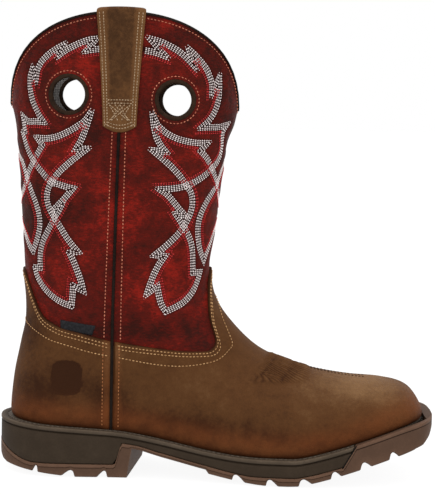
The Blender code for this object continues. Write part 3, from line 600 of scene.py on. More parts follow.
def side_view(ring, angle):
    """Place along the boot and height of a point of the skin: a bent chord from front to back line."""
    p = (1 + np.cos(angle)) / 2
    a, b, c = (1 - p) ** 2, 2 * p * (1 - p), p**2
    x = a * ring_value("back", ring) + b * ring_value("bend", ring) + c * ring_value("front", ring)
    rise = (
        a * ring_value("back_rise", ring)
        + b * ring_value("bend_rise", ring)
        + c * ring_value("front_rise", ring)
    )
    around = np.abs(np.abs(angle) - math.pi / 2) / (math.pi / 2)
    collar = COLLAR_RISE * (1 - around**COLLAR_POWER) * np.clip(1 - ring / ANKLE, 0, None)
    return x, ring_base(ring, x) + rise + collar


def edge_line(end):
    """The front or back line of the side view, run on above the collar and below the welt."""
    ring = np.concatenate([np.linspace(0, 0.78, 56), np.linspace(0.78, 1, 86)[1:]])
    x = ring_value(end, ring)
    z = ring_base(ring, x) + ring_value(end + "_rise", ring)
    x = np.concatenate([[x[0]], x, [x[-1]]])
    z = np.concatenate([[z[0] + 1.5 * COLLAR_RISE], z, [z[-1] - HEEL_HEIGHT]])
    return np.stack([x, z], axis=1)


EDGE_LINES = {end: edge_line(end) for end in ("front", "back")}


def distance_to_line(line, x, z):
    """Distance of points from a line of straight pieces, the nearest piece counting."""
    nearest = np.full(np.shape(x), np.inf)
    for (ax, az), (bx, bz) in zip(line[:-1], line[1:]):
        sx, sz = bx - ax, bz - az
        along = np.clip(((x - ax) * sx + (z - az) * sz) / max(sx * sx + sz * sz, 1e-18), 0, 1)
        nearest = np.minimum(nearest, (x - ax - along * sx) ** 2 + (z - az - along * sz) ** 2)
    return np.sqrt(nearest)


def skin_point(ring, angle):
    """A point of the skin. The side view is blown up to the boot's width, rounded behind its lines."""
    ring, angle = np.broadcast_arrays(np.asarray(ring, float), np.asarray(angle, float))
    angle = (angle + math.pi) % (2 * math.pi) - math.pi
    x, z = side_view(ring, angle)
    above = np.clip((z - seat(x)) / FOOT_HEIGHT, 0, 1)
    leg = ease((above - LEG_SHAPE_START) / LEG_SHAPE_SPAN)
    bulge = SIDE_BULGE * np.sin(math.pi * np.clip(above / BULGE_TOP, 0, 1))
    shaft = ring_value("width", ring) * SHAFT_WIDTH / 2
    full = {}
    for name, side in SIDES.items():
        foot = outline_share(x, side) * BALL_WIDTH / 2 - FEATHER_INSET + bulge
        full[name] = foot + (shaft - foot) * leg
    front = distance_to_line(EDGE_LINES["front"], x, z)
    back = distance_to_line(EDGE_LINES["back"], x, z)
    kept = rounding(front, ring_value("front_round", ring), ring_value("square", ring))
    kept = kept * rounding(back, ring_value("back_round", ring), HEEL_SQUARE)
    middle = (full["medial"] - full["lateral"]) / 2 * (1 - leg)
    side = np.where(angle >= 0, -full["lateral"], full["medial"])
    return np.stack([x, middle + kept * (side - middle), z], axis=-1)


def skin_normal(ring, angle):
    """The outward direction of the skin, square to its slopes along the ring and down the leg."""
    ring, angle = np.broadcast_arrays(np.asarray(ring, float), np.asarray(angle, float))
    step = 1e-3
    low, high = np.clip(ring - step, 0, 1), np.clip(ring + step, 0, 1)
    down = skin_point(high, angle) - skin_point(low, angle)
    round_leg = skin_point(ring, angle + 4 * step) - skin_point(ring, angle - 4 * step)
    normal = np.cross(round_leg, down)
    return normal / np.linalg.norm(normal, axis=-1, keepdims=True)


def skin(ring, angle, offset=0.0):
    """Points of the skin moved outwards by an offset along its normals."""
    return skin_point(ring, angle) + np.asarray(offset)[..., None] * skin_normal(ring, angle)


def angle_at(ring, x, side):
    """The angle at which a ring passes a place along the boot."""
    back, bend, front = (ring_value(name, ring) for name in ("back", "bend", "front"))
    a, b, c = back - 2 * bend + front, 2 * (bend - back), back - x
    flat = np.abs(a) < 1e-9
    root = np.sqrt(np.maximum(b * b - 4 * a * c, 0))
    p = np.where(flat, -c / b, (-b + root) / np.where(flat, 1, 2 * a))
    return side * np.arccos(np.clip(2 * p - 1, -1, 1))


def angle_round(around, ahead, behind):
    """Angle of a share round the leg (0 in front, 2 behind) that reaches the given angles at 1."""
    return np.where(around <= 1, around * ahead, behind + (around - 1) * (math.pi - behind))


def ring_near(x, z, side, lowest=ANKLE):
    """Ring and angle of the skin at a side-view place, by halving the ring range."""
    low, high = np.zeros_like(x), np.full_like(x, lowest)
    for _ in range(30):
        ring = (low + high) / 2
        above = side_view(ring, angle_at(ring, x, side))[1] > z
        low, high = np.where(above, ring, low), np.where(above, high, ring)
    return ring, angle_at(ring, x, side)


def foot_edge(around):
    """Ring of the foot leather's top edge."""
    return smooth(column(FOOT_EDGE, "around"), column(FOOT_EDGE, "ring"), around)


class Chart:
    """The leg's leather laid out flat: distance ahead of the side seam, measured level, and height."""

    def __init__(self, lowest, rows, columns, wrap):
        self.rings = np.linspace(0, lowest, rows)
        self.angles = np.linspace(-wrap, math.pi + wrap, columns)
        ring, angle = np.meshgrid(self.rings, self.angles, indexing="ij")
        point = skin_point(ring, angle)
        step = np.hypot(np.diff(point[..., 0], axis=1), np.diff(point[..., 1], axis=1))
        run = np.concatenate([np.zeros((rows, 1)), np.cumsum(step, axis=1)], axis=1)
        seam = angle_at(self.rings, SEAM * SOLE_LENGTH, 1.0)
        start = np.array([np.interp(t, self.angles, r) for t, r in zip(seam, run)])
        self.ahead = start[:, None] - run
        self.places = np.linspace(self.ahead.min(), self.ahead.max(), columns)
        pairs = zip(self.ahead, point[..., 2])
        table = [
            (np.interp(-self.places, -a, self.angles), np.interp(-self.places, -a, up))
            for a, up in pairs
        ]
        self.angle = np.array([row[0] for row in table])
        self.up = np.array([row[1] for row in table])

    def look(self, table, i, j):
        """A table's value between its points, weighted by the nearness of the four around."""
        i = np.clip(i, 0, table.shape[0] - 1.001)
        j = np.clip(j, 0, table.shape[1] - 1.001)
        i0, j0 = i.astype(int), j.astype(int)
        u, v = i - i0, j - j0
        top = table[i0, j0] * (1 - v) + table[i0, j0 + 1] * v
        low = table[i0 + 1, j0] * (1 - v) + table[i0 + 1, j0 + 1] * v
        return top * (1 - u) + low * u

    def skin_place(self, along, up):
        """Ring and angle (without its side) of a chart place, by halving the range of rows."""
        along, up = np.broadcast_arrays(np.asarray(along, float), np.asarray(up, float))
        column_at = (along - self.places[0]) / (self.places[1] - self.places[0])
        low, high = np.zeros(along.shape), np.full(along.shape, len(self.rings) - 1.0)
        for _ in range(24):
            row = (low + high) / 2
            above = self.look(self.up, row, column_at) > up
            low, high = np.where(above, row, low), np.where(above, high, row)
        ring = np.interp(row, np.arange(len(self.rings)), self.rings)
        return ring, self.look(self.angle, row, column_at)

    def along(self, ring, angle):
        """Distance ahead of the side seam of a point of the skin."""
        i = ring / self.rings[1]
        j = (angle - self.angles[0]) / (self.angles[1] - self.angles[0])
        return self.look(self.ahead, i, j)


CHART = Chart(lowest=0.75, rows=160, columns=420, wrap=0.35)


# Meshes and objects


def place(points):
    """From places counted from the heel to the frame's middle."""
    return np.asarray(points) - np.array([SOLE_LENGTH / 2, 0, 0])


def sheet_faces(columns, rows, closed=False):
    """Faces of a grid of columns by rows whose points are numbered one column after another."""
    c, r = np.meshgrid(
        np.arange(columns if closed else columns - 1), np.arange(rows - 1), indexing="ij"
    )
    d = (c + 1) % columns
    faces = np.stack([c * rows + r, d * rows + r, d * rows + r + 1, c * rows + r + 1], axis=-1)
    return faces.reshape(-1, 4)


def tube_faces(loops, around, closed=False):
    """Faces that join loops of equally many points, each loop closed in itself."""
    i, j = np.meshgrid(np.arange(loops if closed else loops - 1), np.arange(around), indexing="ij")
    a, b = i * around, ((i + 1) % loops) * around
    k = (j + 1) % around
    return np.stack([a + j, a + k, b + k, b + j], axis=-1).reshape(-1, 4)


def thicken(outer, inner, faces):
    """Closes two copies of a sheet into one solid: both sheets and a wall along every open edge."""
    count = len(outer)
    ends = np.stack([faces, np.roll(faces, -1, axis=1)], axis=-1).reshape(-1, 2)
    forward = ends[:, 0] * count + ends[:, 1]
    backward = ends[:, 1] * count + ends[:, 0]
    rim = ends[~np.isin(forward, backward)]
    walls = np.stack([rim[:, 1], rim[:, 0], rim[:, 0] + count, rim[:, 1] + count], axis=1)
    every = np.concatenate([faces, faces[:, ::-1] + count, walls])
    return np.concatenate([outer, inner]), every


def volume(points, faces):
    """Volume inside closed faces, below zero where they are turned inwards."""
    a, b, c, d = (points[faces[:, k]] for k in range(4))
    first = np.einsum("ij,ij->i", a, np.cross(b, c))
    return (first + np.einsum("ij,ij->i", a, np.cross(c, d))).sum() / 6


def add_piece(name, points, faces, materials, slot, replaces=(), caps=(), looks=None, uv=None,
              marks=None, sharp=45):
    """A mesh piece with its outer faces outwards, its looks as point values and its place set.

    caps are end faces of a tube, looks are named values of each point for the materials, uv is a
    place on the flat cloth for each point, and marks give the material number of each face.
    """
    points, faces = place(points), np.asarray(faces)
    caps = [list(cap) for cap in caps]
    if volume(points, faces) < 0:
        faces = faces[:, ::-1]
        caps = [cap[::-1] for cap in caps]
    mesh = bpy.data.meshes.new(name)
    mesh.from_pydata(points.tolist(), [], faces.tolist() + caps)
    for key, values in (looks or {}).items():
        mesh.attributes.new(key, "FLOAT", "POINT").data.foreach_set("value", values.astype(np.float32))
    if uv is not None:
        corners = np.zeros(len(mesh.loops), np.int32)
        mesh.loops.foreach_get("vertex_index", corners)
        layer = mesh.uv_layers.new(name="cloth")
        layer.data.foreach_set("uv", uv[corners].astype(np.float32).ravel())
    for material in materials:
        mesh.materials.append(material)
    if marks is not None:
        mesh.polygons.foreach_set("material_index", marks.astype(np.int32))
    mesh.shade_smooth()
    mesh.set_sharp_from_angle(angle=math.radians(sharp))
    mesh.update()
    piece = bpy.data.objects.new(name, mesh)
    bpy.context.scene.collection.objects.link(piece)
    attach(piece, "root")
    if replaces:
        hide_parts(*replaces)
    return piece


def add_tube(name, loops, finish, node, closed=True, looks=None, sharp=45):
    """A piece from loops of points, joined to a ring or closed by a cap at both ends."""
    count, around = loops.shape[:2]
    caps = () if closed else [range(around)[::-1], range((count - 1) * around, count * around)]
    looks = looks or {"tone": np.zeros(count * around)}
    looks = {key: values.reshape(-1) for key, values in looks.items()}
    faces = tube_faces(count, around, closed)
    add_piece(name, loops.reshape(-1, 3), faces, [finish], node, [node], caps, looks, sharp=sharp)


def add_sheet(name, outer, inner, materials, slot, replaces=(), looks=None, faces=None, uv=None, sharp=60):
    """A piece from both faces of a sheet; a second material is the inner face's.

    Looks and uv are given once for each grid point and hold for both faces.
    """
    faces = sheet_faces(*outer.shape[:2]) if faces is None else faces
    points, every = thicken(outer.reshape(-1, 3), inner.reshape(-1, 3), faces)
    looks = {key: np.tile(values.reshape(-1), 2) for key, values in (looks or {}).items()}
    uv = None if uv is None else np.tile(uv.reshape(-1, 2), (2, 1))
    marks = np.zeros(len(every), int)
    marks[len(faces):2 * len(faces)] = len(materials) - 1
    add_piece(name, points, every, materials, slot, replaces, (), looks, uv, marks, sharp)


# One stitch: three rings of four points, small at both ends, full in the middle
STITCH_RINGS = [(-0.5, 0.45), (0.0, 1.0), (0.5, 0.45)]
STITCH_ROUND = [(-0.5, 0.0), (0.0, 0.62), (0.5, 0.0), (0.0, -0.4)]


def stitch_mesh(starts, ends, normals, width):
    """Stitches as small closed beads from start to end points, half sunk into the leather."""
    middle, way = (starts + ends) / 2, ends - starts
    across = np.cross(normals, unit(way))
    shape = [(t, s * y, s * z) for t, s in STITCH_RINGS for y, z in STITCH_ROUND]
    points = np.stack(
        [middle + t * way + y * width * across + z * width * normals for t, y, z in shape], axis=1
    )
    around = len(STITCH_ROUND)
    sides = tube_faces(len(STITCH_RINGS), around)
    first = np.arange(around)[::-1]
    last = np.arange(around) + (len(STITCH_RINGS) - 1) * around
    bead = np.concatenate([sides, [first, last]])
    faces = bead[None] + (np.arange(len(starts)) * len(shape))[:, None, None]
    return points.reshape(-1, 3), faces.reshape(-1, 4)


# Materials


def sign(operation, swapped=False):
    """A method of Value for one sign of arithmetic; swapped has the other value in front."""

    def work(self, other):
        return self.maths(operation, *((other, self) if swapped else (self, other)))

    return work


class Value:
    """One output of a material's nodes, used like a number in an expression."""

    def __init__(self, nodes, output):
        self.nodes, self.output = nodes, output

    def maths(self, operation, first, second=0.0):
        """What a maths node makes of one or two values."""
        return self.nodes.add("ShaderNodeMath", {"operation": operation}, {0: first, 1: second})

    __add__ = sign("ADD")
    __radd__ = sign("ADD", swapped=True)
    __sub__ = sign("SUBTRACT")
    __rsub__ = sign("SUBTRACT", swapped=True)
    __mul__ = sign("MULTIPLY")

    def sine(self):
        """Sine of the value, as an angle in radians."""
        return self.maths("SINE", self)

    def step(self, low, high):
        """Zero below the low value, one above the high one, smooth between."""
        settings = {"interpolation_type": "SMOOTHSTEP"}
        inputs = {"Value": self, "From Min": low, "From Max": high}
        return self.nodes.add("ShaderNodeMapRange", settings, inputs)


class Finish:
    """A material and the nodes that are added to it."""

    def __init__(self, name, roughness, specular=0.1, coat=0.0, coat_roughness=0.3):
        self.material = bpy.data.materials.new(name)
        self.material.use_nodes = True
        self.tree = self.material.node_tree
        self.shader = self.tree.nodes["Principled BSDF"]
        constants = {
            "Roughness": roughness,
            "Specular IOR Level": specular,
            "Coat Weight": coat,
            "Coat Roughness": coat_roughness,
        }
        for key, value in constants.items():
            self.shader.inputs[key].default_value = value

    def add(self, kind, settings, inputs, output=0):
        """A node of a type, with its settings, then the values or links of its sockets."""
        made = self.tree.nodes.new(kind)
        for key, value in settings.items():
            setattr(made, key, value)
        for key, value in inputs.items():
            self.put(made.inputs[key], value)
        return Value(self, made.outputs[output])

    def put(self, socket, value):
        """Links a value to a socket, or sets the socket to a plain number or colour."""
        if isinstance(value, Value):
            self.tree.links.new(value.output, socket)
        else:
            socket.default_value = value

    def position(self, stretch=(1.0, 1.0, 1.0)):
        """The place on the piece in metres, pulled longer or shorter along each axis."""
        plain = self.add("ShaderNodeTexCoord", {}, {}, output="Object")
        return self.add("ShaderNodeVectorMath", {"operation": "MULTIPLY"}, {0: plain, 1: stretch})

    def noise(self, place_on, size, detail=3.0, rough=0.5):
        """Cloudy values about one half whose clouds are as large as size, in metres."""
        inputs = {"Vector": place_on, "Scale": 1.0 / size, "Detail": detail, "Roughness": rough}
        return self.add("ShaderNodeTexNoise", {}, inputs)

    def pores(self, place_on, size):
        """Zero on the borders between small cells, one inside them."""
        inputs = {"Vector": place_on, "Scale": 1.0 / size}
        return self.add("ShaderNodeTexVoronoi", {"feature": "DISTANCE_TO_EDGE"}, inputs).step(0.0, 0.22)

    def look(self, name):
        """A value that the piece gives to each of its points, zero where it gives none."""
        return self.add("ShaderNodeAttribute", {"attribute_name": name}, {}, output="Fac")

    def mix(self, share, first, second):
        """A colour between two, by a share from 0 to 1."""
        first, second = (c if isinstance(c, Value) else (*c, 1.0) for c in (first, second))
        settings = {"data_type": "RGBA", "clamp_factor": True}
        return self.add("ShaderNodeMix", settings, {0: share, 6: first, 7: second}, output=2)

    def colour(self, value):
        """Sets the base colour."""
        value = value if isinstance(value, Value) else (*value, 1.0)
        self.put(self.shader.inputs["Base Color"], value)

    def relief(self, height, depth, strength=1.0):
        """A fine surface: height from 0 to 1, times a depth in metres."""
        inputs = {"Height": height, "Distance": depth, "Strength": strength}
        bump = self.add("ShaderNodeBump", {}, inputs)
        self.put(self.shader.inputs["Normal"], bump)


OILED = (0.150, 0.042, 0.012)  # reddish brown of the foot leather near the welt and the seams


def leather(name, colours, grain, streak, roughness, coat, mottle=1.0):
    """Pull-up leather: three colours by clouds, streaks and the piece's tone, which on some pieces holds
    painted light and shade, and a fine grain; painted shade darkens it further where a piece marks it.
    """
    dark, middle, light = colours
    finish = Finish(name, roughness, specular=0.04, coat=coat, coat_roughness=0.42)
    here = finish.position()
    drawn = finish.position(streak)
    tone = finish.look("tone")
    broad = finish.noise(here, 34 * MM, 2.0)
    cloud = finish.noise(here, 9 * MM, 4.0, 0.6)
    fine = finish.noise(drawn, 2.6 * MM, 4.0, 0.62)
    clouds = broad * 0.5 + cloud * 0.55 + fine * 0.5 - 0.775
    shade = clouds * mottle + tone * 0.9 + 0.5
    lower = finish.mix(shade.step(0.28, 0.54), dark, middle)
    body = finish.mix(shade.step(0.50, 0.86), lower, light)
    body = finish.mix(finish.look("warm") * (cloud + 0.15), body, OILED)
    pores = finish.pores(here, grain)
    scratches = finish.noise(drawn, 0.9 * MM, 3.0, 0.7)
    body = finish.mix((1 - pores) * 0.20, body, dark)
    # Painted shade: where the piece marks it, the colour falls towards a third of the dark colour
    finish.colour(finish.mix(finish.look("stain"), body, tuple(0.3 * c for c in dark)))
    finish.put(finish.shader.inputs["Roughness"], roughness - 0.10 + cloud * 0.14 + fine * 0.10)
    finish.relief(pores * 0.55 + scratches * 0.75 + fine * 0.8, 0.26 * MM, 0.75)
    return finish.material


def thread(name, colour, shade):
    """Twisted thread: a plain colour with darker flecks."""
    finish = Finish(name, 0.7)
    flecks = finish.noise(finish.position(), 1.4 * MM, 2.0)
    finish.colour(finish.mix(flecks.step(0.35, 0.7), shade, colour))
    return finish.material


def rubber(name, colour, lighter, roughness, speck):
    """Moulded rubber: slightly uneven in colour, finely pebbled, flecked with dust, lighter where tone is
    high and darker where it is low; the pieces give tone as painted highlights and painted shade, and painted
    shade darkens it further where a piece marks it.
    """
    finish = Finish(name, roughness, specular=0.08)
    here = finish.position()
    cloud = finish.noise(here, 12 * MM, 4.0, 0.6)
    fine = finish.noise(here, 1.1 * MM, 3.0, 0.6)
    dust = finish.noise(here, 3.0 * MM, 5.0, 0.75).step(0.60, 0.72)
    share = cloud * 0.5 + fine * 0.35 + finish.look("tone") - 0.20
    # By clouds and tone, between the colour and the lighter one; the tone part is painted highlight and
    # painted shade
    body = finish.mix(share.step(0.1, 0.9), colour, lighter)
    # Specks of dust in the lighter colour
    body = finish.mix(dust * speck, body, lighter)
    # Painted shade: where the piece marks it, the colour falls towards near black
    finish.colour(finish.mix(finish.look("stain"), body, tuple(0.15 * c for c in colour)))
    finish.put(finish.shader.inputs["Roughness"], roughness - 0.08 + fine * 0.16)
    finish.relief(fine * 0.7 + cloud * 0.3, 0.22 * MM, 0.6)
    return finish.material


def mesh_lining(name, dark, light):
    """Spacer mesh: rows of small round holes, each row set half a hole along from the last."""
    finish = Finish(name, 0.9)
    cloth = finish.add("ShaderNodeUVMap", {"uv_map": "cloth"}, {})
    ahead = finish.add("ShaderNodeSeparateXYZ", {}, {0: cloth})
    up = Value(finish, ahead.output.node.outputs[1])
    pitch = 2 * math.pi / (2.4 * MM)
    first = (ahead * pitch + up * pitch).sine()
    second = (ahead * pitch - up * pitch).sine()
    holes = (first * second * 0.5 + 0.5).step(0.55, 0.85)
    cloud = finish.noise(finish.position(), 14 * MM, 3.0)
    finish.colour(finish.mix(holes, finish.mix(cloud, light, dark), (0.010, 0.010, 0.011)))
    finish.relief(1 - holes, 0.5 * MM, 0.9)
    return finish.material


def pad_cloth(name, dark, light):
    """Knitted cover of the footbed: a fine cloudy weave."""
    finish = Finish(name, 0.92)
    here = finish.position()
    weave = finish.noise(here, 0.9 * MM, 2.0)
    finish.colour(finish.mix(weave, dark, light))
    finish.relief(weave, 0.2 * MM, 0.7)
    return finish.material


# Sheets of leather: where their points lie, and how high their surface stands


def bent(creases, x, z):
    """Height of soft troughs and swells: each is deepest on a short line and fades to its sides."""
    x, z = x / MM, z / MM
    height = np.zeros(np.shape(x))
    for crease in creases:
        turn = math.radians(crease.turn)
        along = (x - crease.x) * math.cos(turn) + (z - crease.z) * math.sin(turn)
        across = (z - crease.z) * math.cos(turn) - (x - crease.x) * math.sin(turn)
        height -= crease.depth * bell(across, crease.width) * bell(along, crease.length, 4)
    return height * MM


def toned(patches, x, z):
    """Sum of soft lighter and darker patches at side-view places."""
    x, z = x / MM, z / MM
    tone = np.zeros(np.shape(x))
    for patch in patches:
        tone += patch.strength * bell(x - patch.x, patch.across) * bell(z - patch.z, patch.up)
    return tone


def resample(points, step):
    """Points at even steps along a smooth curve through the given ones."""
    points = np.asarray(points, float)
    run = run_along(points)
    at = np.linspace(0, run[-1], max(int(round(run[-1] / step)), 2) + 1)
    if len(points) < 3:
        return on_line(points, run, at)
    return np.stack([smooth(run, values, at) for values in points.T], axis=1)


def stroke_lines(strokes):
    """The strokes of a pattern line in metres, each starting where the last one ended."""
    lines, last = [], []
    for stroke in strokes:
        points = last + stroke
        lines.append(resample(np.array(points) * MM, STROKE_STEP))
        last = [stroke[-1]]
    return lines


PATTERN_STROKES = [stroke_lines(pattern.strokes) for pattern in PATTERNS]


def pattern_distance(along, up):
    """Distance of chart places from the middle of the nearest stitched band."""
    nearest = np.full(np.shape(along), np.inf)
    for lines in PATTERN_STROKES:
        for line in lines:
            coarse = line[:: max(len(line) // max(int(len(line) * STROKE_STEP / (1.8 * MM)), 1), 1)]
            coarse = np.concatenate([coarse, line[-1:]])
            low, high = coarse.min(0) - 9 * MM, coarse.max(0) + 9 * MM
            near = (along > low[0]) & (along < high[0]) & (up > low[1]) & (up < high[1])
            if near.any():
                gap = distance_to_line(coarse, along[near], up[near])
                nearest[near] = np.minimum(nearest[near], gap)
    return nearest


BAND_PRESS, BAND_WIDTH = 0.42 * MM, 3.1 * MM
# Width and strength of the painted shade that darkens the pressed stitch bands
BAND_DARK, BAND_SHADE = 2.9 * MM, 0.90
BAND_PUFF, PUFF_PLACE, PUFF_WIDTH = 0.34 * MM, 7.0 * MM, 3.2 * MM
SEAM_RAISE, ROW_PRESS = 0.45 * MM, 0.25 * MM
SEAM_RINGS = np.linspace(0.0, 0.72, 80)
SEAM_ANGLES = angle_at(SEAM_RINGS, seam_at(SEAM_RINGS), 1.0)
SEAM_HEIGHTS = side_view(SEAM_RINGS, SEAM_ANGLES)[1]
SEAM_PLACES = CHART.along(SEAM_RINGS, SEAM_ANGLES)


def seam_place(up):
    """Chart place of the side seam at a height."""
    return np.interp(-up, -SEAM_HEIGHTS, SEAM_PLACES)


def seam_row(up):
    """Distance of the stitch rows beside the seam, closer together towards the strap."""
    return np.interp(up, [110 * MM, 240 * MM], [5.7 * MM, 4.6 * MM])


def leg_relief(along, up, band=None):
    """Height of the leg leather's face: pressed in under the stitches, puffed up beside them."""
    gap = pattern_distance(along, up) if band is None else band
    height = BAND_PUFF * bell(gap - PUFF_PLACE, PUFF_WIDTH) - BAND_PRESS * bell(gap, BAND_WIDTH, 4)
    strip = np.abs(along - seam_place(up)) - seam_row(up)
    height = height + SEAM_RAISE * ease((0.3 * MM - strip) / (1.2 * MM))
    height = height - ROW_PRESS * bell(strip, 0.8 * MM)
    return height + bent(LEG_CREASES, along, up)


# Pieces


FRONT_COLUMNS, BACK_COLUMNS = 96, 66
LEG_ROWS, FOOT_ROWS = 104, 16
HOLE_SNAP = 1.15 * MM
UNDER_FOOT = 0.9 * MM  # how far the shaft sinks under the foot leather


def hole_middle(hole):
    """Side-view place of a pull hole's centre."""
    return hole.along * SOLE_LENGTH, HEEL_HEIGHT + FOOT_HEIGHT + hole.height * LEG_HEIGHT


def upper_columns():
    """Rings and angles of one side's grid, columns by rows, from the front line to the back line."""
    back = 1 + np.linspace(0, 1, BACK_COLUMNS + 1)[1:]
    around = np.concatenate([np.linspace(0, 1, FRONT_COLUMNS + 1), back])[:, None]
    edge = foot_edge(around)
    leg = RIM + (edge - RIM) * np.linspace(0, 1, LEG_ROWS + 1)
    foot = edge + (1 - edge) * np.linspace(0, 1, FOOT_ROWS + 1)[1:]
    ring = np.concatenate([leg, foot], axis=1)
    seam = angle_at(ring, seam_at(ring), 1.0)
    return ring, angle_round(around, seam, seam)


def make_upper(settings, finishes):
    """Red leather outside, mesh lining inside, one wall from the collar to the welt.

    Grid points close to a pull hole's circle are moved onto it, and the faces inside are left out.
    """
    ring, angle = upper_columns()
    ring = np.concatenate([ring, ring[-2:0:-1]])
    angle = np.concatenate([angle, -angle[-2:0:-1]])
    columns, rows = ring.shape
    side = np.where(np.arange(columns) <= FRONT_COLUMNS + BACK_COLUMNS, 1.0, -1.0)
    inside = np.zeros(ring.shape, bool)
    for hole in HOLES:
        for sign in (1.0, -1.0):
            middle_x, middle_z = hole_middle(hole)
            x, z = side_view(ring, angle)
            radius = np.hypot(x - middle_x, z - middle_z)
            here = (side[:, None] == sign) & (np.abs(angle) > 0.2) & (np.abs(angle) < 2.9)
            near = here & (np.abs(radius - HOLE_RADIUS) < HOLE_SNAP)
            scale = HOLE_RADIUS / radius[near]
            new_x = middle_x + (x[near] - middle_x) * scale
            new_z = middle_z + (z[near] - middle_z) * scale
            ring[near], angle[near] = ring_near(new_x, new_z, sign)
            inside |= here & (radius < HOLE_RADIUS - HOLE_SNAP)
    along, up = CHART.along(ring, np.abs(angle)), side_view(ring, angle)[1]
    foot = ease((ring - ring[:, LEG_ROWS:LEG_ROWS + 1] - 0.008) / 0.03)
    gap = pattern_distance(along, up)
    relief = leg_relief(along, up, gap) * settings.relief * (1 - foot)
    outer = skin(ring, angle, relief - UNDER_FOOT * foot)
    inner = skin(ring, angle, np.full(ring.shape, -WALL))
    for sheet in (outer, inner):
        sheet[:, -1, 2] = seat(sheet[:, -1, 0]) + FEATHER_GAP
    faces = sheet_faces(columns, rows, closed=True)
    faces = faces[~inside.reshape(-1)[faces].any(axis=1)]
    # Tone: the listed patches, partly uneven leather and partly painted light and shade. Painted shade: the
    # pressed bands between the stitch rows go towards near black
    looks = {"tone": toned(LEG_PATCHES, along, up), "stain": BAND_SHADE * bell(gap, BAND_DARK, 6)}
    add_sheet(
        "shaft", outer, inner, [finishes["red_leather"], finishes["mesh_lining"]], "upper", ["upper"],
        looks, faces, np.stack([along, up], axis=-1),
    )


EDGE_DEPTHS = np.array([0.0, 0.12, 0.35, 0.7, 1.2]) * MM
OVERLAY_ROWS = 70
VAMP_COLUMNS, COUNTER_COLUMNS = 96, 62
SIDE_CLEAR = PIPING_WIDTH / 2 + 0.2 * MM
FAR_OFF = 9.0  # of the badge on the side that has none


def overlay_angle(around, ring, side):
    """Angle of a foot leather column: a share of the way from the front or back to the seam."""
    seam = seam_at(ring)
    ahead = angle_at(ring, seam + SIDE_CLEAR, 1.0)
    behind = angle_at(ring, seam - SIDE_CLEAR, 1.0)
    return side * angle_round(around, ahead, behind)


def ring_below_edge(around, depth, side):
    """The ring that lies a depth below the foot leather's top edge, by the slope at the edge."""
    edge = foot_edge(around)
    step = 0.02
    low = skin_point(edge + step, overlay_angle(around, edge + step, side))
    high = skin_point(edge, overlay_angle(around, edge, side))
    return edge + step * depth / np.linalg.norm(low - high, axis=-1)


def super_round(x, z, middle_x, middle_z, half_x, half_z, square):
    """Under one inside a rounded box, one on its edge, over one outside."""
    away = np.abs((x - middle_x) / half_x) ** square + np.abs((z - middle_z) / half_z) ** square
    return away ** (1.0 / square)


def ridge_bars(x, z):
    """Ribs over the instep, each a rounded bar leaning forward as it goes up, and their field."""
    climb = np.clip((z - RIDGE_LOW) / (RIDGE_HIGH - RIDGE_LOW), -0.4, 1.6)
    ahead = [x - ridge.x_low - (ridge.x_high - ridge.x_low) * climb for ridge in INSTEP_RIDGES]
    height = np.max([bell(away, RIDGE_WIDTH) for away in ahead], axis=0)
    margin, fade = 2.5 * MM, 1.5 * MM
    field = ease((ahead[0] + margin) / fade) * ease((margin - ahead[-1]) / fade)
    field = field * ease((z - RIDGE_LOW + 1.5 * MM) / (2.5 * MM))
    return height * field, field


def pressed_badge(x, z, side):
    """Height and tone of the badge on the outer side: a pressed field with a raised line in it."""
    box = super_round(x, z, BADGE_X, BADGE_Z, BADGE_HALF_WIDTH, BADGE_HALF_HEIGHT, BADGE_SQUARE)
    box = np.where(side > 0, box, FAR_OFF)
    pressed = 1 - ease((box - 0.92) / 0.10)
    line = bell(box - 0.80, 0.035)
    return BADGE_LINE * line - BADGE_DEPTH * pressed, 0.30 * line - 0.55 * pressed


def foot_leather_height(ring, around, x, z, from_edge, from_seam):
    """Height of the foot leather's face, and apart from it that of its creases and ribs."""
    above = z - seat(x)
    height = rounding(from_edge, 1.2 * MM) * rounding(np.maximum(from_seam, 0), 0.9 * MM)
    height = (GAP + OVERLAY) * height - 1.0 * MM * np.clip(1 - above / (3.4 * MM), 0, 1) ** 2
    inner_part = ease(from_edge / (6 * MM)) * ease(above / (10 * MM))
    folds = bent(FOOT_CREASES, x, z) + RIDGE_HEIGHT * ridge_bars(x, z)[0]
    for depth in EDGE_ROWS:
        height = height - EDGE_ROW_PRESS * bell(from_edge - depth, 0.6 * MM)
    third = ring - np.interp(around, *zip(*THIRD_ROW))
    return height - EDGE_ROW_PRESS * bell(third, 0.004), folds * inner_part


def foot_leather_tone(x, z, from_edge, from_seam):
    """Tone and warmth of the foot leather: patches, edges, painted shade at the welt, painted shade between
    the ribs with painted highlights on them, and the oiled strips.
    """
    above = z - seat(x)
    bars, field = ridge_bars(x, z)
    # Painted shade low down, where the leather is drawn in at the welt
    tone = toned(FOOT_PATCHES, x, z) - 0.35 * np.exp(-above / (3.0 * MM))
    # Painted shade between the instep ribs and painted highlights on their tops
    tone = tone - 0.25 * np.exp(-from_edge / (0.8 * MM)) - 0.34 * field * (0.55 - bars)
    tone = tone + 0.16 * bell(np.maximum(from_seam, 0), 4.8 * MM, 4)
    warm = 0.75 * bell(above - 9 * MM, 9 * MM) + 0.5 * bell(from_seam, 4.6 * MM, 4)
    return tone, np.clip(warm, 0, 1)


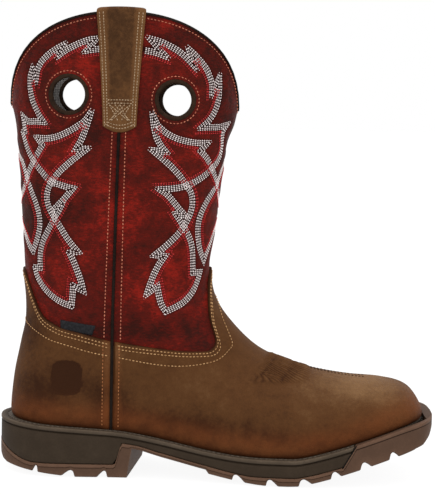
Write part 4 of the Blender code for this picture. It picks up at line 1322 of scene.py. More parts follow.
def make_foot_leather(settings, finishes):
    """Vamp and counter: sheets on the skin, rounded at their edges, drawn in at the welt."""
    for name, count in (("vamp", VAMP_COLUMNS), ("counter", COUNTER_COLUMNS)):
        share = np.linspace(0, 1, count + 1)
        halves = (share[::-1], share[1:]) if name == "vamp" else (1 + share, 2 - share[1:])
        around = np.concatenate(halves)[:, None]
        side = np.repeat([1.0, -1.0], [count + 1, count])[:, None]
        top = ring_below_edge(around, EDGE_DEPTHS[None], side)
        rest = top[:, -1:] + (1 - top[:, -1:]) * np.linspace(0, 1, OVERLAY_ROWS + 1)[1:] ** 0.9
        ring = np.concatenate([top, rest], axis=1)
        around, side = np.broadcast_to(around, ring.shape), np.broadcast_to(side, ring.shape)
        angle = overlay_angle(around, ring, side)
        x, z = side_view(ring, angle)
        row_depth = np.linalg.norm(np.diff(skin_point(ring, angle), axis=1), axis=-1)
        from_edge = np.concatenate([np.zeros((len(ring), 1)), np.cumsum(row_depth, axis=1)], axis=1)
        from_seam = np.abs(x - seam_at(ring)) - SIDE_CLEAR
        height, folds = foot_leather_height(ring, around, x, z, from_edge, from_seam)
        height = height + folds * settings.relief
        tone, warm = foot_leather_tone(x, z, from_edge, from_seam)
        if name == "counter":
            badge_height, badge_tone = pressed_badge(x, z, side)
            height, tone = height + badge_height, tone + badge_tone
        outer = skin(ring, angle, np.maximum(height, 0.05 * MM))
        inner = skin(ring, angle, np.full(ring.shape, -0.15 * MM))
        for sheet in (outer, inner):
            sheet[:, -1, 2] = seat(sheet[:, -1, 0]) + 0.1 * MM
        looks = {"tone": tone, "warm": warm}
        add_sheet(name + "_leather", outer, inner, [finishes["foot_leather"]], name, [name], looks)


def make_piping(settings, finishes):
    """A rounded cord of leather down each side seam, wound slightly in and out as it is sewn."""
    turn = np.linspace(0, math.pi, 9)
    across = -np.cos(turn) * PIPING_WIDTH / 2
    out = 0.1 * MM + np.sin(turn) ** 0.8 * PIPING_PROUD
    across = np.concatenate([across, across[::-1][[1, 4, 7]]])
    out = np.concatenate([out, np.full(3, -0.1 * MM)])
    first = (STRAP_LENGTH + GAP) * ANKLE / (LEG_HEIGHT + COLLAR_RISE)
    ring = np.linspace(first, 1.0, 190)[:, None]
    edge = foot_edge(1.0)
    for name, side in SIDES.items():
        angle = angle_at(ring, seam_at(ring) + across, side)
        wave = 1 + 0.05 * np.sin(ring * 150) + 0.03 * np.sin(ring * 411 + 1)
        lift = np.where(ring > edge, 0.25 * MM, 0.0)
        points = skin(ring, angle, (out + lift) * wave)
        points[-1, :, 2] = seat(points[-1, :, 0]) + 0.1 * MM
        add_tube("piping_cord_" + name, points, finishes["trim_leather"], "piping_" + name, closed=False)


def make_collar_binding(settings, finishes):
    """A folded strip over the collar's edge: a rounded hairpin carried round the leg."""
    out, far, rise = GAP + BINDING, -WALL - GAP - BINDING, 0.0010
    profile = [(0.05 * MM, BINDING_EDGE), (out * 0.8, BINDING_EDGE), (out, BINDING_EDGE - 0.0012)]
    for turn in np.linspace(0, math.pi, 9):
        middle, reach = (out + far) / 2, (out - far) / 2
        profile.append((middle + reach * math.cos(turn), rise * 2.2 * (1 - math.sin(turn))))
    profile += [(far, BINDING_EDGE - 0.0012), (far * 0.95, BINDING_EDGE)]
    profile += [(-WALL - 0.05 * MM, BINDING_EDGE), (-WALL + 0.3 * MM, 0.0042), (-0.3 * MM, 0.0042)]
    offset, ring = (np.array(values)[None] for values in zip(*profile))
    angle = np.linspace(-math.pi, math.pi, 361)[:-1, None]
    wave = 1 + 0.06 * np.sin(angle * 61) * (offset > 0.5 * MM)
    points = skin(ring + 0 * angle, angle + 0 * ring, offset * wave)
    add_tube("collar_edge", points, finishes["trim_leather"], "collar_binding")


def round_hole(hole, side, radius, steps):
    """Rings and angles on circles round a pull hole's centre, a row for each place round it."""
    turn = np.linspace(0, 2 * math.pi, steps + 1)[:, None]
    middle_x, middle_z = hole_middle(hole)
    return ring_near(middle_x + radius * np.cos(turn), middle_z + radius * np.sin(turn), side)


def make_hole_bindings(settings, finishes):
    """Rolled leather rims of the pull holes: a rounded ring that lies over both faces of the wall."""
    turn = np.linspace(0, 2 * math.pi, 17)[:-1]
    half_wall = WALL / 2 + 0.75 * MM
    radius = HOLE_RADIUS - 0.1 * MM + 1.55 * MM * np.cos(turn)
    offset = -WALL / 2 + half_wall * np.sign(np.sin(turn)) * np.abs(np.sin(turn)) ** 0.6
    for name, side in SIDES.items():
        for hole in HOLES:
            ring, angle = (values[:-1] for values in round_hole(hole, side, radius, 96))
            points = skin(ring, angle, np.broadcast_to(offset, ring.shape))
            ending = hole.name + "_" + name
            add_tube("rim_" + ending, points, finishes["rim_leather"], "hole_binding_" + ending)


def strap_points(across, down, offset, side):
    """Points of a pull strap: down is counted along the shaft from the collar, above it negative."""
    reach = LEG_HEIGHT + COLLAR_RISE
    ring = np.clip(down / reach * ANKLE, 0, None)
    middle = SEAM * SOLE_LENGTH + STRAP_FORWARD
    taper = 1 - (1 - np.clip(down / (1.1 * STRAP_LENGTH), 0, 1)) ** 1.4
    width = STRAP_TOP_WIDTH + (STRAP_END_WIDTH - STRAP_TOP_WIDTH) * taper
    angle = angle_at(ring, middle + across * width / 2, side)
    point = skin(ring, angle, np.broadcast_to(offset, ring.shape))
    point[..., 2] += np.maximum(-down, 0)
    return point


STRAP_RIM = GAP + BINDING + GAP
BLOCK_TOP, BLOCK_LOW = 60 * MM, 74 * MM
STRAP_ACROSS = np.array(
    [-1.0, -0.985, -0.93, -0.85, -0.7, -0.5, -0.25, 0, 0.25, 0.5, 0.7, 0.85, 0.93, 0.985, 1.0]
)


def strap_run():
    """Down and offset of a strap's under face, from its outer tip over the collar to its inner tip."""
    outside = np.linspace(STRAP_LENGTH, 2 * MM, 56)
    near = ease(1 - outside / (0.35 * STRAP_LENGTH))
    rows = [outside, GAP + (STRAP_RIM - GAP) * near, np.ones(56), np.zeros(56)]
    turn = np.linspace(0, math.pi, 15)
    middle, reach = -WALL / 2, STRAP_RIM + WALL / 2
    over = [-np.sin(turn) * STRAP_LIFT, middle + np.cos(turn) * reach, np.cos(turn), np.sin(turn)]
    inside = np.linspace(2 * MM, STRAP_INSIDE, 40)
    near = ease(1 - inside / (0.35 * STRAP_INSIDE))
    back = [inside, -WALL - GAP - (STRAP_RIM - GAP) * near, -np.ones(40), np.zeros(40)]
    return [np.concatenate(parts) for parts in zip(rows, over, back)]


def make_straps(settings, finishes):
    """A folded pull strap on each side: two layers of leather, rounded at both edges and tips."""
    down, offset, out, lift = strap_run()
    length = np.where(out < 0, STRAP_INSIDE, STRAP_LENGTH)
    across = STRAP_ACROSS[:, None]
    edge = rounding((1 - np.abs(across)) * 0.5, 0.07)
    full = np.minimum(edge, rounding(length - down, 1.2 * MM))
    sewn = 0.3 * MM * bell(np.abs(across) - 0.80, 0.10) - 0.22 * MM * bell(np.abs(across) - 0.62, 0.08)
    slide = STRAP_TIP * across**2 * ease((down - 0.85 * length) / (0.15 * length))
    # Lighter towards both edges of the strap and, in its middle, below the sewn block
    lighter = -0.13 + 0.31 * ease((np.abs(across) - 0.50) / 0.25)
    lighter = lighter + 0.25 * ease((down - BLOCK_TOP - 2 * MM) / (4 * MM)) * (lighter < 0)
    for name, side in SIDES.items():
        sheets = []
        for face in (1, -1):
            thick = STRAP_THICKNESS * (1 + face * full) / 2 + max(face, 0) * sewn * np.abs(out)
            here = down - slide - lift * thick
            sheets.append(strap_points(np.broadcast_to(across, here.shape), here, offset + out * thick, side))
        finish, node = finishes["strap_leather"], "pull_strap_" + name
        add_sheet("strap_" + name, *sheets, [finish], node, [node], {"tone": lighter})


# Threads


def row_stitches(lines, k, offset):
    """Start and end of the stitches of one row beside a stroke, level with those of its other rows.

    The slots are counted on the stroke itself and run on past its ends. A stitch is kept where its
    middle lies on its own side of the line that halves each corner.
    """
    line = lines[k]
    heading = unit(np.gradient(line, axis=0))
    run = run_along(line)
    length = run[-1]
    count = max(int(round(length / PITCH)), 1)
    spare = int(CORNER_REACH / PITCH)
    slots = (np.arange(-spare, count + spare) + 0.5) * length / count

    def beside(at):
        inside = np.clip(at, 0, length)
        way = unit(on_line(heading, run, inside))
        aside = np.stack([-way[:, 1], way[:, 0]], axis=1)
        return on_line(line, run, inside) + (at - inside)[:, None] * way + offset * aside

    middle = beside(slots)
    reach = 2.4 * abs(offset)
    keep = (slots > -reach) & (slots < length + reach)
    if k > 0:
        halving = unit(lines[k - 1][-1] - lines[k - 1][-2]) + heading[0]
        keep &= (slots > CORNER_NEAR) | ((middle - line[0]) @ halving >= 0)
    else:
        keep &= slots > 0
    if k < len(lines) - 1:
        halving = unit(lines[k + 1][1] - lines[k + 1][0]) + heading[-1]
        keep &= (slots < length - CORNER_NEAR) | ((middle - line[-1]) @ halving <= 0)
    else:
        keep &= slots < length
    slots = slots[keep]
    return beside(slots - STITCH / 2), beside(slots + STITCH / 2)


def stitch_ends(row, pitch, length):
    """Start and end of each stitch along a row of points, spread so that the row is filled."""
    run = run_along(row)
    count = int(run[-1] / pitch + 0.35)
    if count < 1:
        return np.zeros((0, row.shape[1])), np.zeros((0, row.shape[1]))
    step = run[-1] / count
    half = length * step / pitch / 2
    middle = (np.arange(count) + 0.5) * step
    return on_line(row, run, middle - half), on_line(row, run, middle + half)


def add_stitches(name, rows, width, finish, slot):
    """A thread piece from rows of stitches, each with its starts, ends and normals."""
    mesh = stitch_mesh(*(np.concatenate(parts) for parts in zip(*rows)), width)
    add_piece(name, *mesh, [finish], slot, sharp=180)


def pattern_rows(offsets):
    """Stitches of all pattern lines in the chart: starts, ends and the distance from the line."""
    rows = []
    for pattern, lines in zip(PATTERNS, PATTERN_STROKES):
        for offset in offsets:
            offset = offset * pattern.red_side
            for k in range(len(lines)):
                start, end = row_stitches(lines, k, offset)
                rows.append((start, end, np.full(len(start), abs(offset))))
    return [np.concatenate(parts) for parts in zip(*rows)]


PITCH, STITCH = 1.85 * MM, 1.16 * MM  # of the pattern's rows
ROW_PITCH, ROW_STITCH = 2.5 * MM, 1.5 * MM  # of the rows along edges and seams
CORNER_REACH, CORNER_NEAR = 6.0 * MM, 8.0 * MM


def make_pattern_threads(settings, finishes):
    """Light rows of the western pattern and the red rows beside them, on both sides of the leg."""
    for colour, offsets in (("light", LIGHT_ROWS), ("red", RED_ROWS)):
        starts, ends, bands = pattern_rows(offsets)
        middle = (starts + ends) / 2
        sink = leg_relief(middle[:, 0], middle[:, 1], bands) * settings.relief + 0.10 * MM
        for name, side in SIDES.items():
            points = []
            for at in (starts, ends):
                ring, angle = CHART.skin_place(at[:, 0], at[:, 1])
                points.append(skin(ring, side * angle, sink))
            ring, angle = CHART.skin_place(middle[:, 0], middle[:, 1])
            row = (*points, skin_normal(ring, side * angle))
            finish = finishes[colour + "_thread"]
            add_stitches("pattern_" + colour + "_" + name, [row], settings.thread_width, finish, "upper")


def add_rows(name, rows, width, finish, slot):
    """A thread piece from rows given as ring, angle and offset along each."""
    made = []
    for row in rows:
        ring, angle, offset = (np.asarray(part, float) for part in np.broadcast_arrays(*row))
        line = skin(ring, angle, offset)
        starts, ends = stitch_ends(line, ROW_PITCH, ROW_STITCH)
        if not len(starts):
            continue
        run = run_along(line)
        at = (np.arange(len(starts)) + 0.5) * run[-1] / len(starts)
        made.append((starts, ends, skin_normal(np.interp(at, run, ring), np.interp(at, run, angle))))
    add_stitches(name, made, width, finish, slot)


def make_seam_threads(settings, finishes):
    """Rows beside the side seams on leg and foot, below the collar and round the pull holes."""
    leg_rows, foot_rows, collar_rows, hole_rows = [], [], [], []
    for side in SIDES.values():
        for way in (-1, 1):
            up = np.linspace(243, 94, 240) * MM
            ring, angle = CHART.skin_place(seam_place(up) + way * seam_row(up), up)
            on_leg = ring < foot_edge(1.0) - 0.004
            leg_rows.append((ring[on_leg], side * angle[on_leg], 0.08 * MM))
            ring = np.linspace(foot_edge(1.0) + 0.012, 0.985, 160)
            away = 5.1 * MM if way > 0 else 6.3 * MM
            angle = angle_at(ring, seam_at(ring) + way * away, side)
            foot_rows.append((ring, angle, GAP + OVERLAY + 0.02 * MM))
        for hole in HOLES:
            ring, angle = round_hole(hole, side, HOLE_RADIUS + 3.2 * MM, 180)
            hole_rows.append((ring[:, 0], angle[:, 0], 0.1 * MM))
        around = np.linspace(0.0, 2.0, 400)
        seam_angle = angle_at(np.full(around.shape, COLLAR_ROW), SEAM * SOLE_LENGTH, 1.0)
        angle = angle_round(around, seam_angle, seam_angle)
        point = skin_point(COLLAR_ROW + 0 * angle, side * angle)
        strap = np.abs(point[:, 0] - SEAM * SOLE_LENGTH - STRAP_FORWARD) > STRAP_TOP_WIDTH / 2
        ahead = point[:, 0] > SEAM * SOLE_LENGTH
        for part in (strap & ahead, strap & ~ahead):
            collar_rows.append((np.full(part.sum(), COLLAR_ROW), side * angle[part], 0.1 * MM))
    width = settings.thread_width
    add_rows("seam_thread_leg", leg_rows, width * 1.15, finishes["pink_thread"], "upper")
    add_rows("seam_thread_foot", foot_rows, width, finishes["tan_thread"], "vamp")
    add_rows("collar_thread", collar_rows, width, finishes["pink_thread"], "upper")
    add_rows("hole_thread", hole_rows, width, finishes["pink_thread"], "upper")


def make_foot_threads(settings, finishes):
    """Three rows below the foot leather's top edge, in front of and behind each side seam."""
    rows = []
    knots, rings = zip(*THIRD_ROW)
    height = GAP + OVERLAY + 0.02 * MM
    for side in SIDES.values():
        for low, high in ((0.0, 0.985), (1.015, 2.0)):
            around = np.linspace(low, high, 300)
            lines = [ring_below_edge(around, np.full(300, depth), side) for depth in EDGE_ROWS]
            for ring in lines + [smooth(knots, rings, around)]:
                rows.append((ring, overlay_angle(around, ring, side), height))
    add_rows("foot_edge_thread", rows, settings.thread_width, finishes["edge_thread"], "vamp")
    ring = np.linspace(RIDGE_ROW_START, RIDGE_ROW_END, 90)
    ridge = [(ring, np.full(90, turn), height) for turn in (-0.05, 0.05)]
    add_rows("ridge_thread", ridge, settings.thread_width, finishes["dark_thread"], "vamp")


def make_strap_threads(settings, finishes):
    """Two rows along each edge of the straps, round their tips, and a sewn block at the lower end."""
    paths = []
    for inset in (0.88, 0.72):
        down = np.linspace(0.5 * MM, STRAP_LENGTH - 4 * MM, 60)
        paths.append((np.full(60, inset), down))
        paths.append((np.full(60, -inset), down))
        sweep = np.linspace(-inset, inset, 30)
        low = STRAP_LENGTH - STRAP_TIP * sweep**2 - (1 - inset) * 14 * MM - 1.0 * MM
        paths.append((sweep, low))
    for level in (BLOCK_TOP, BLOCK_TOP + 2.2 * MM):
        paths.append((np.linspace(-0.7, 0.7, 24), np.full(24, level)))
    for start, end in ((-0.6, 0.5), (-0.3, 0.6), (-0.6, -0.1), (0.0, 0.5)):
        for way in (1, -1):
            across = way * np.linspace(start, end, 24)
            paths.append((across, np.linspace(BLOCK_TOP + 3 * MM, BLOCK_LOW, 24)))
    rows = []
    for side in SIDES.values():
        for across, down in paths:
            near = ease(1 - down / (0.35 * STRAP_LENGTH))
            offset = GAP + (STRAP_RIM - GAP) * near + STRAP_THICKNESS + 0.12 * MM
            line = strap_points(across, down, offset, side)
            under = strap_points(across, down, offset - MM, side)
            starts, ends = stitch_ends(line, 2.0 * MM, 1.45 * MM)
            pick = np.linspace(0, len(line) - 1, len(starts)).astype(int)
            rows.append((starts, ends, (line - under)[pick] / MM))
    add_stitches("strap_thread", rows, settings.thread_width, finishes["cream_thread"], "pull_strap_lateral")


def make_label(settings, finishes):
    """A plain woven tag on the outer side, sewn in above the counter's edge."""
    corner = np.array(LABEL_CORNERS) * MM
    u, v = np.meshgrid(np.linspace(0, 1, 25), np.linspace(0, 1, 9), indexing="ij")
    u4, v4 = u[..., None], v[..., None]
    flat = (1 - v4) * ((1 - u4) * corner[0] + u4 * corner[1]) + v4 * ((1 - u4) * corner[3] + u4 * corner[2])
    ring, angle = ring_near(flat[..., 0], flat[..., 1], 1.0, lowest=0.72)
    rim = np.minimum(np.minimum(u, 1 - u) * 25, np.minimum(v, 1 - v) * 7)
    outer = skin(ring, angle, 0.35 * MM + 0.55 * MM * rounding(rim, 0.5))
    inner = skin(ring, angle, np.full(ring.shape, 0.02 * MM))
    add_sheet("woven_tag", outer, inner, [finishes["tag_cloth"]], "upper", sharp=70)


# Sole


RIM_STEPS = 150
BUMPER_LEAN = 8.6 * MM


def rim_share():
    """Shares along the sole of the points of its outline: outer side to the toe, inner side back."""
    even = (1 - np.cos(np.linspace(0, math.pi, RIM_STEPS + 1))) / 2
    t = np.sort(np.concatenate([even, np.linspace(0.765, 0.845, 60)]))
    share = np.concatenate([t, t[-2:0:-1]])
    side = np.concatenate([np.ones(len(t)), -np.ones(len(t) - 2)])
    return share, side


def bumper_room(x, level):
    """Room that welt and midsole leave for the toe bumper, whose back edge leans with the level."""
    start = BUMPER_START * SOLE_LENGTH + (level - 0.5) * BUMPER_LEAN
    return (BUMPER_TOP + GAP) * ease((x - start) / (1.0 * MM) + 1)


def hidden_room(x, level):
    """Room for the bumper's wall further on, where the midsole is already hidden behind it."""
    start = BUMPER_START * SOLE_LENGTH + 12 * MM
    return (BUMPER_WALL + GAP) * ease((x - start) / (6 * MM))


def rim_loops(profile, room_at=bumper_room):
    """Loops of a profile carried round the sole's outline.

    Each profile point is an inset, a level for the bumper's lean and a height as a function of x.
    """
    share, side = rim_share()
    columns = []
    for inset, level, height in profile:
        x = inset + share * (SOLE_LENGTH - 2 * inset)
        room = room_at(x, level)
        x = (inset + room) + share * (SOLE_LENGTH - 2 * (inset + room))
        lateral, medial = half_width(x, 1.0, inset + room), half_width(x, -1.0, inset + room)
        y = np.where(side > 0, -lateral, medial)
        y = np.where((share <= 0) | (share >= 1), 0.0, y)
        columns.append(np.stack([x, y, height(x)], axis=-1))
    return np.stack(columns, axis=1)


def make_welt(settings, finishes):
    """The welt: a flat strip round the boot with rounded edges and a sewn groove on its top."""
    low = WELT_THICKNESS

    def at(depth):
        return lambda x: seat(x) - depth

    profile = [
        (12.0 * MM, 1.0, at(0.0)),
        (5.4 * MM, 1.0, at(0.0)),
        (4.9 * MM, 1.0, at(0.35 * MM)),
        (4.0 * MM, 1.0, at(0.35 * MM)),
        (3.5 * MM, 1.0, at(0.0)),
        (0.7 * MM, 1.0, at(0.0)),
        (0.2 * MM, 0.95, at(0.2 * MM)),
        (0.0, 0.92, at(0.7 * MM)),
        (0.0, 0.85, at(low - 0.8 * MM)),
        (0.35 * MM, 0.8, at(low - 0.15 * MM)),
        (0.9 * MM, 0.8, at(low)),
        (12.0 * MM, 0.8, at(low)),
    ]
    loops = rim_loops(profile)
    # Painted light and shade on the welt: darker in the sewn groove and on the underside, lighter on the
    # rounded outer top edge
    tones = [0, 0, -0.2, -0.2, 0, 0.1, 0.25, 0.1, 0.0, -0.1, -0.2, 0.0]
    looks = {
        "tone": np.tile(tones, (len(loops), 1)),
        # Painted shade: the welt goes much darker where the toe bumper covers it
        "stain": 0.75 * (bumper_room(loops[..., 0], 1.0) > 0.5 * MM),
    }
    add_tube("welt_strip", loops, finishes["welt_leather"], "welt", looks=looks)
    share, side = rim_share()
    inset = 4.45 * MM
    x = inset + share * (SOLE_LENGTH - 2 * inset)
    room = bumper_room(x, 1.0)
    x = inset + room + share * (SOLE_LENGTH - 2 * (inset + room))
    keep = room < 0.5 * MM
    y = np.where(side > 0, -half_width(x, 1.0, inset), half_width(x, -1.0, inset))
    line = np.stack([x, y, seat(x) - 0.2 * MM], axis=-1)
    rows = []
    for mask in (keep & (side > 0), keep & (side < 0)):
        starts, ends = stitch_ends(line[mask], 3.4 * MM, 2.7 * MM)
        rows.append((starts, ends, np.tile([0.0, 0.0, 1.0], (len(starts), 1))))
    add_stitches("welt_thread", rows, 1.0 * MM, finishes["welt_thread"], "welt")


def make_midsole(settings, finishes):
    """The dark layer: a recessed joint below the welt, a flat wall and the heel's moulded panels."""

    def between(share):
        def height(x):
            top = seat(x) - WELT_THICKNESS - GAP
            low = parting(x) + GAP / 2
            return low + (top - low) * share
        return height

    def below_top(depth):
        return lambda x: seat(x) - WELT_THICKNESS - GAP - depth

    def above_low(rise):
        return lambda x: np.minimum(parting(x) + GAP / 2 + rise, seat(x) - WELT_THICKNESS - 1.2 * MM)

    profile = [
        (14.0 * MM, 0.8, below_top(0.0)),
        (1.5 * MM, 0.8, below_top(0.0)),
        (1.5 * MM, 0.75, below_top(0.5 * MM)),
        (0.55 * MM, 0.7, below_top(0.8 * MM)),
        (0.2 * MM, 0.68, below_top(1.3 * MM)),
        (0.2 * MM, 0.6, between(0.66)),
        (0.2 * MM, 0.4, between(0.33)),
        (0.2 * MM, 0.1, above_low(0.9 * MM)),
        (0.4 * MM, 0.05, above_low(0.35 * MM)),
        (0.9 * MM, 0.0, above_low(0.0)),
        (14.0 * MM, 0.0, above_low(0.0)),
    ]
    loops = rim_loops(profile, hidden_room)
    x, y = loops[..., 0], loops[..., 1]
    levels = np.array([level for _, level, _ in profile])[None]
    loops[..., 0] = x + skew(x, y) * np.clip(1 - levels / 0.8, 0, 1)
    wall = (levels > 0.05) & (levels < 0.7)
    # Painted shade: the recessed joint under the welt and the rounded lower edge are darker than the flat
    # wall
    tone = np.tile(np.where(wall, 0.1, -0.1), (len(loops), 1))
    add_tube("midsole_layer", loops, finishes["midsole_rubber"], "midsole", looks={"tone": tone})
    # A painted shadow: near-black beads along the slanted cut where the toe bumper meets the midsole
    start = BUMPER_START * SOLE_LENGTH - BUMPER_LEAN / 2 - 0.35 * MM
    climb = np.linspace(0.0, 1.0, 9)
    x = start + climb * BUMPER_LEAN
    low, high = parting(x), seat(x) - 0.3 * MM
    height = low + (high - low) * climb
    lines = [np.stack([x, -side * half_width(x, side), height], axis=1) for side in (1.0, -1.0)]
    starts = np.concatenate([line[:-1] for line in lines])
    ends = np.concatenate([line[1:] for line in lines])
    normals = np.repeat([[0.0, -1.0, 0.0], [0.0, 1.0, 0.0]], 8, axis=0)
    over = (ends - starts) * 0.4
    row = (starts - over, ends + over, normals)
    add_stitches("bumper_joint", [row], 1.0 * MM, finishes["joint_shadow"], "midsole")


LUG_BEVEL = 0.5 * MM
CHANNEL = [  # section of a channel from its steep side on: share of its width and of its depth
    (0.05, 0.40), (0.11, 0.74), (0.20, 0.94), (0.32, 1.00), (0.46, 0.90), (0.72, 0.50), (0.94, 0.10),
]


def tread_profile():
    """Places, depths and tones of the tread's underside: blocks with bevels, channels, breast and shank; the
    tone is painted shade in the channels and under the shank.
    """
    length, breast = SOLE_LENGTH, BREAST * SOLE_LENGTH
    shank_end = (LUGS[4].start - 0.006) * length
    points = [(nose.inward, nose.above, 0.0) for nose in HEEL_NOSE]
    for lug, following in zip(LUGS, LUGS[1:] + [None]):
        start, end = lug.start * length, lug.end * length
        points += [(start, LUG_BEVEL * 0.45, 0.0), (start + LUG_BEVEL, 0.0, 1.0)]
        points += [((start + end) / 2, 0.0, 1.0), (end - LUG_BEVEL, 0.0, 1.0)]
        points += [(end, LUG_BEVEL * 0.45, 0.0)]
        if following and following.start - lug.end < 0.1:
            wide = following.start * length - end
            steep_front = end < breast
            for share, deep in CHANNEL:
                at = end + wide * (1 - share if steep_front else share)
                # Painted shade: the deeper in a channel, the darker its tone
                points.append((at, deep * TREAD_DEPTH, -deep))
    points += [(length - nose.inward, nose.above, 0.0) for nose in TOE_NOSE]
    points = [(x, float(spring(x)) + depth, tone) for x, depth, tone in points]
    for share in (0.0, 0.04, 0.12, 0.25, 0.4, 0.6, 0.8, 0.92, 1.0):
        x = breast + 2 * MM + share * (shank_end - breast - 2 * MM)
        points.append((x, float(parting(x)) - SHANK_THICKNESS, -0.3))
    return np.array(sorted(points))


def outsole_places(tread):
    """Places along the sole where its sections are taken: even steps, ends and all tread corners."""
    ends = (1 - np.cos(np.linspace(0, math.pi / 2, 24))) * 0.16 * SOLE_LENGTH
    even = np.linspace(0.01, 0.99, 190) * SOLE_LENGTH
    start = BUMPER_START * SOLE_LENGTH - BUMPER_LEAN / 2
    lean = start + np.linspace(0, BUMPER_LEAN, 7)
    fixed = list(tread[:, 0]) + list(lean)
    for x in np.concatenate([ends, SOLE_LENGTH - ends, even]):
        if min(abs(x - known) for known in fixed) > 0.35 * MM:
            fixed.append(x)
    return np.array(sorted(fixed))


def make_outsole(settings, finishes):
    """The brown outsole as cross sections along the boot, with bevelled lugs and a toe bumper.

    A section runs from the middle of the tread out to the bevelled lower edge, up the wall, over the
    rim and down to the floor that the midsole stands on, the same on the other side.
    """
    tread = tread_profile()
    x = outsole_places(tread)
    bottom = np.interp(x, tread[:, 0], tread[:, 1])
    face = np.interp(x, tread[:, 0], tread[:, 2])
    floor = parting(x) - GAP / 2
    start = BUMPER_START * SOLE_LENGTH - BUMPER_LEAN / 2
    climb = np.clip((x - start) / BUMPER_LEAN, 0, 1)
    rim = floor + (seat(x) - floor) * climb
    low = np.where(x < SOLE_LENGTH - BUMPER_TOP - 0.1 * MM, floor, rim)
    bevel = 1.4 * MM
    groove = 2.6 * MM
    top_inset = np.where(climb > 0, BUMPER_TOP, BUMPER_WALL)
    wall_height = np.maximum(rim - bottom, 0.4 * MM)
    bevel_up = np.minimum(bevel * 0.8, wall_height * 0.35)
    lines = [  # inset, height, tone; the tone paints shade in the channels and the groove and highlights on the edges of the rim
        (9.0 * MM, bottom, face * 0.25),
        (bevel * 1.6, bottom, face * 0.25),
        (bevel * 0.5, bottom + bevel_up * 0.5, face * 0.1),
        (0.0, bottom + bevel_up, 0.15 + 0 * x),
        (0.0, bottom + wall_height * 0.5, 0 * x),
        (0.0, np.maximum(rim - groove - 0.5 * MM, bottom + wall_height * 0.55), 0 * x),
        (0.55 * MM, np.maximum(rim - groove, bottom + wall_height * 0.6), -0.5 + 0 * x),
        (0.0, np.maximum(rim - groove + 0.5 * MM, bottom + wall_height * 0.65), 0.25 + 0 * x),
        (0.1 * MM, rim - 0.35 * MM, 0.35 + 0 * x),
        (0.6 * MM, rim, 0.35 + 0 * x),
        (top_inset - 0.6 * MM, rim, 0.2 + 0 * x),
        (top_inset, rim - 0.3 * MM * climb, -0.3 + 0 * x),
        (top_inset + 0.1 * MM, low - 0.05 * MM, -0.3 + 0 * x),
    ]
    sections, tones = [], []
    for side, order in ((1.0, lines), (-1.0, lines[::-1])):
        for inset, height, tone in order:
            y = -side * half_width(x, side, 0.0)
            y = np.sign(y) * np.maximum(np.abs(y) - inset, 0.05 * MM)
            moved = x + skew(x, y)
            sections.append(np.stack([moved, y, height], axis=-1))
            tones.append(tone)
    points = np.stack(sections, axis=1)
    tone = np.stack(tones, axis=1)
    # Painted shade: the groove along the toe bumper goes near black
    looks = {"tone": tone, "stain": np.where((tone < -0.4) & (climb[:, None] > 0), 0.9, 0.0)}
    add_tube("outsole_tread", points, finishes["outsole_rubber"], "outsole", False, looks, sharp=28)


def dress_insole(settings, finishes):
    """The footbed keeps its CAD shape and gets a knitted cover."""
    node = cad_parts["insole"]
    node.data.materials.clear()
    node.data.materials.append(finishes["footbed"])


# Settings, operators and panel


def colour_property(name, description, default):
    """A colour in the panel."""
    return bpy.props.FloatVectorProperty(
        name=name, description=description, default=default, size=3, min=0.0, max=1.0,
        subtype="COLOR",
    )


class BootSizes(bpy.types.PropertyGroup):
    """Sizes of the threads and of the leather's surface."""

    thread_width: bpy.props.FloatProperty(
        name="Thread width", description="Width of one stitch", default=0.85 * MM, unit="LENGTH"
    )
    relief: bpy.props.FloatProperty(
        name="Relief", description="How strongly seams and folds shape the leather", default=1.0
    )


class BootColours(bpy.types.PropertyGroup):
    """Main colours of the leathers, threads and rubbers."""

    leg: colour_property("Leg", "Colour of the leg leather", (0.076, 0.0056, 0.0030))
    leg_dark: colour_property("Leg, dark", "Dark places of the leg leather", (0.029, 0.0046, 0.0026))
    leg_light: colour_property("Leg, light", "Light places of the leg leather", (0.235, 0.0100, 0.0050))
    foot: colour_property("Foot", "Colour of the foot leather", (0.084, 0.0345, 0.0115))
    foot_dark: colour_property("Foot, dark", "Dark places of the foot leather", (0.030, 0.0105, 0.004))
    foot_light: colour_property("Foot, light", "Light places of the foot leather", (0.190, 0.100, 0.043))
    trim: colour_property("Trim", "Colour of piping and collar edge", (0.013, 0.009, 0.007))
    sole: colour_property("Sole", "Colour of the outsole", (0.066, 0.0360, 0.0225))
    midsole: colour_property("Midsole", "Colour of the midsole", (0.025, 0.0165, 0.0100))
    thread: colour_property("Pattern thread", "Colour of the light rows", (0.93, 0.86, 0.84))


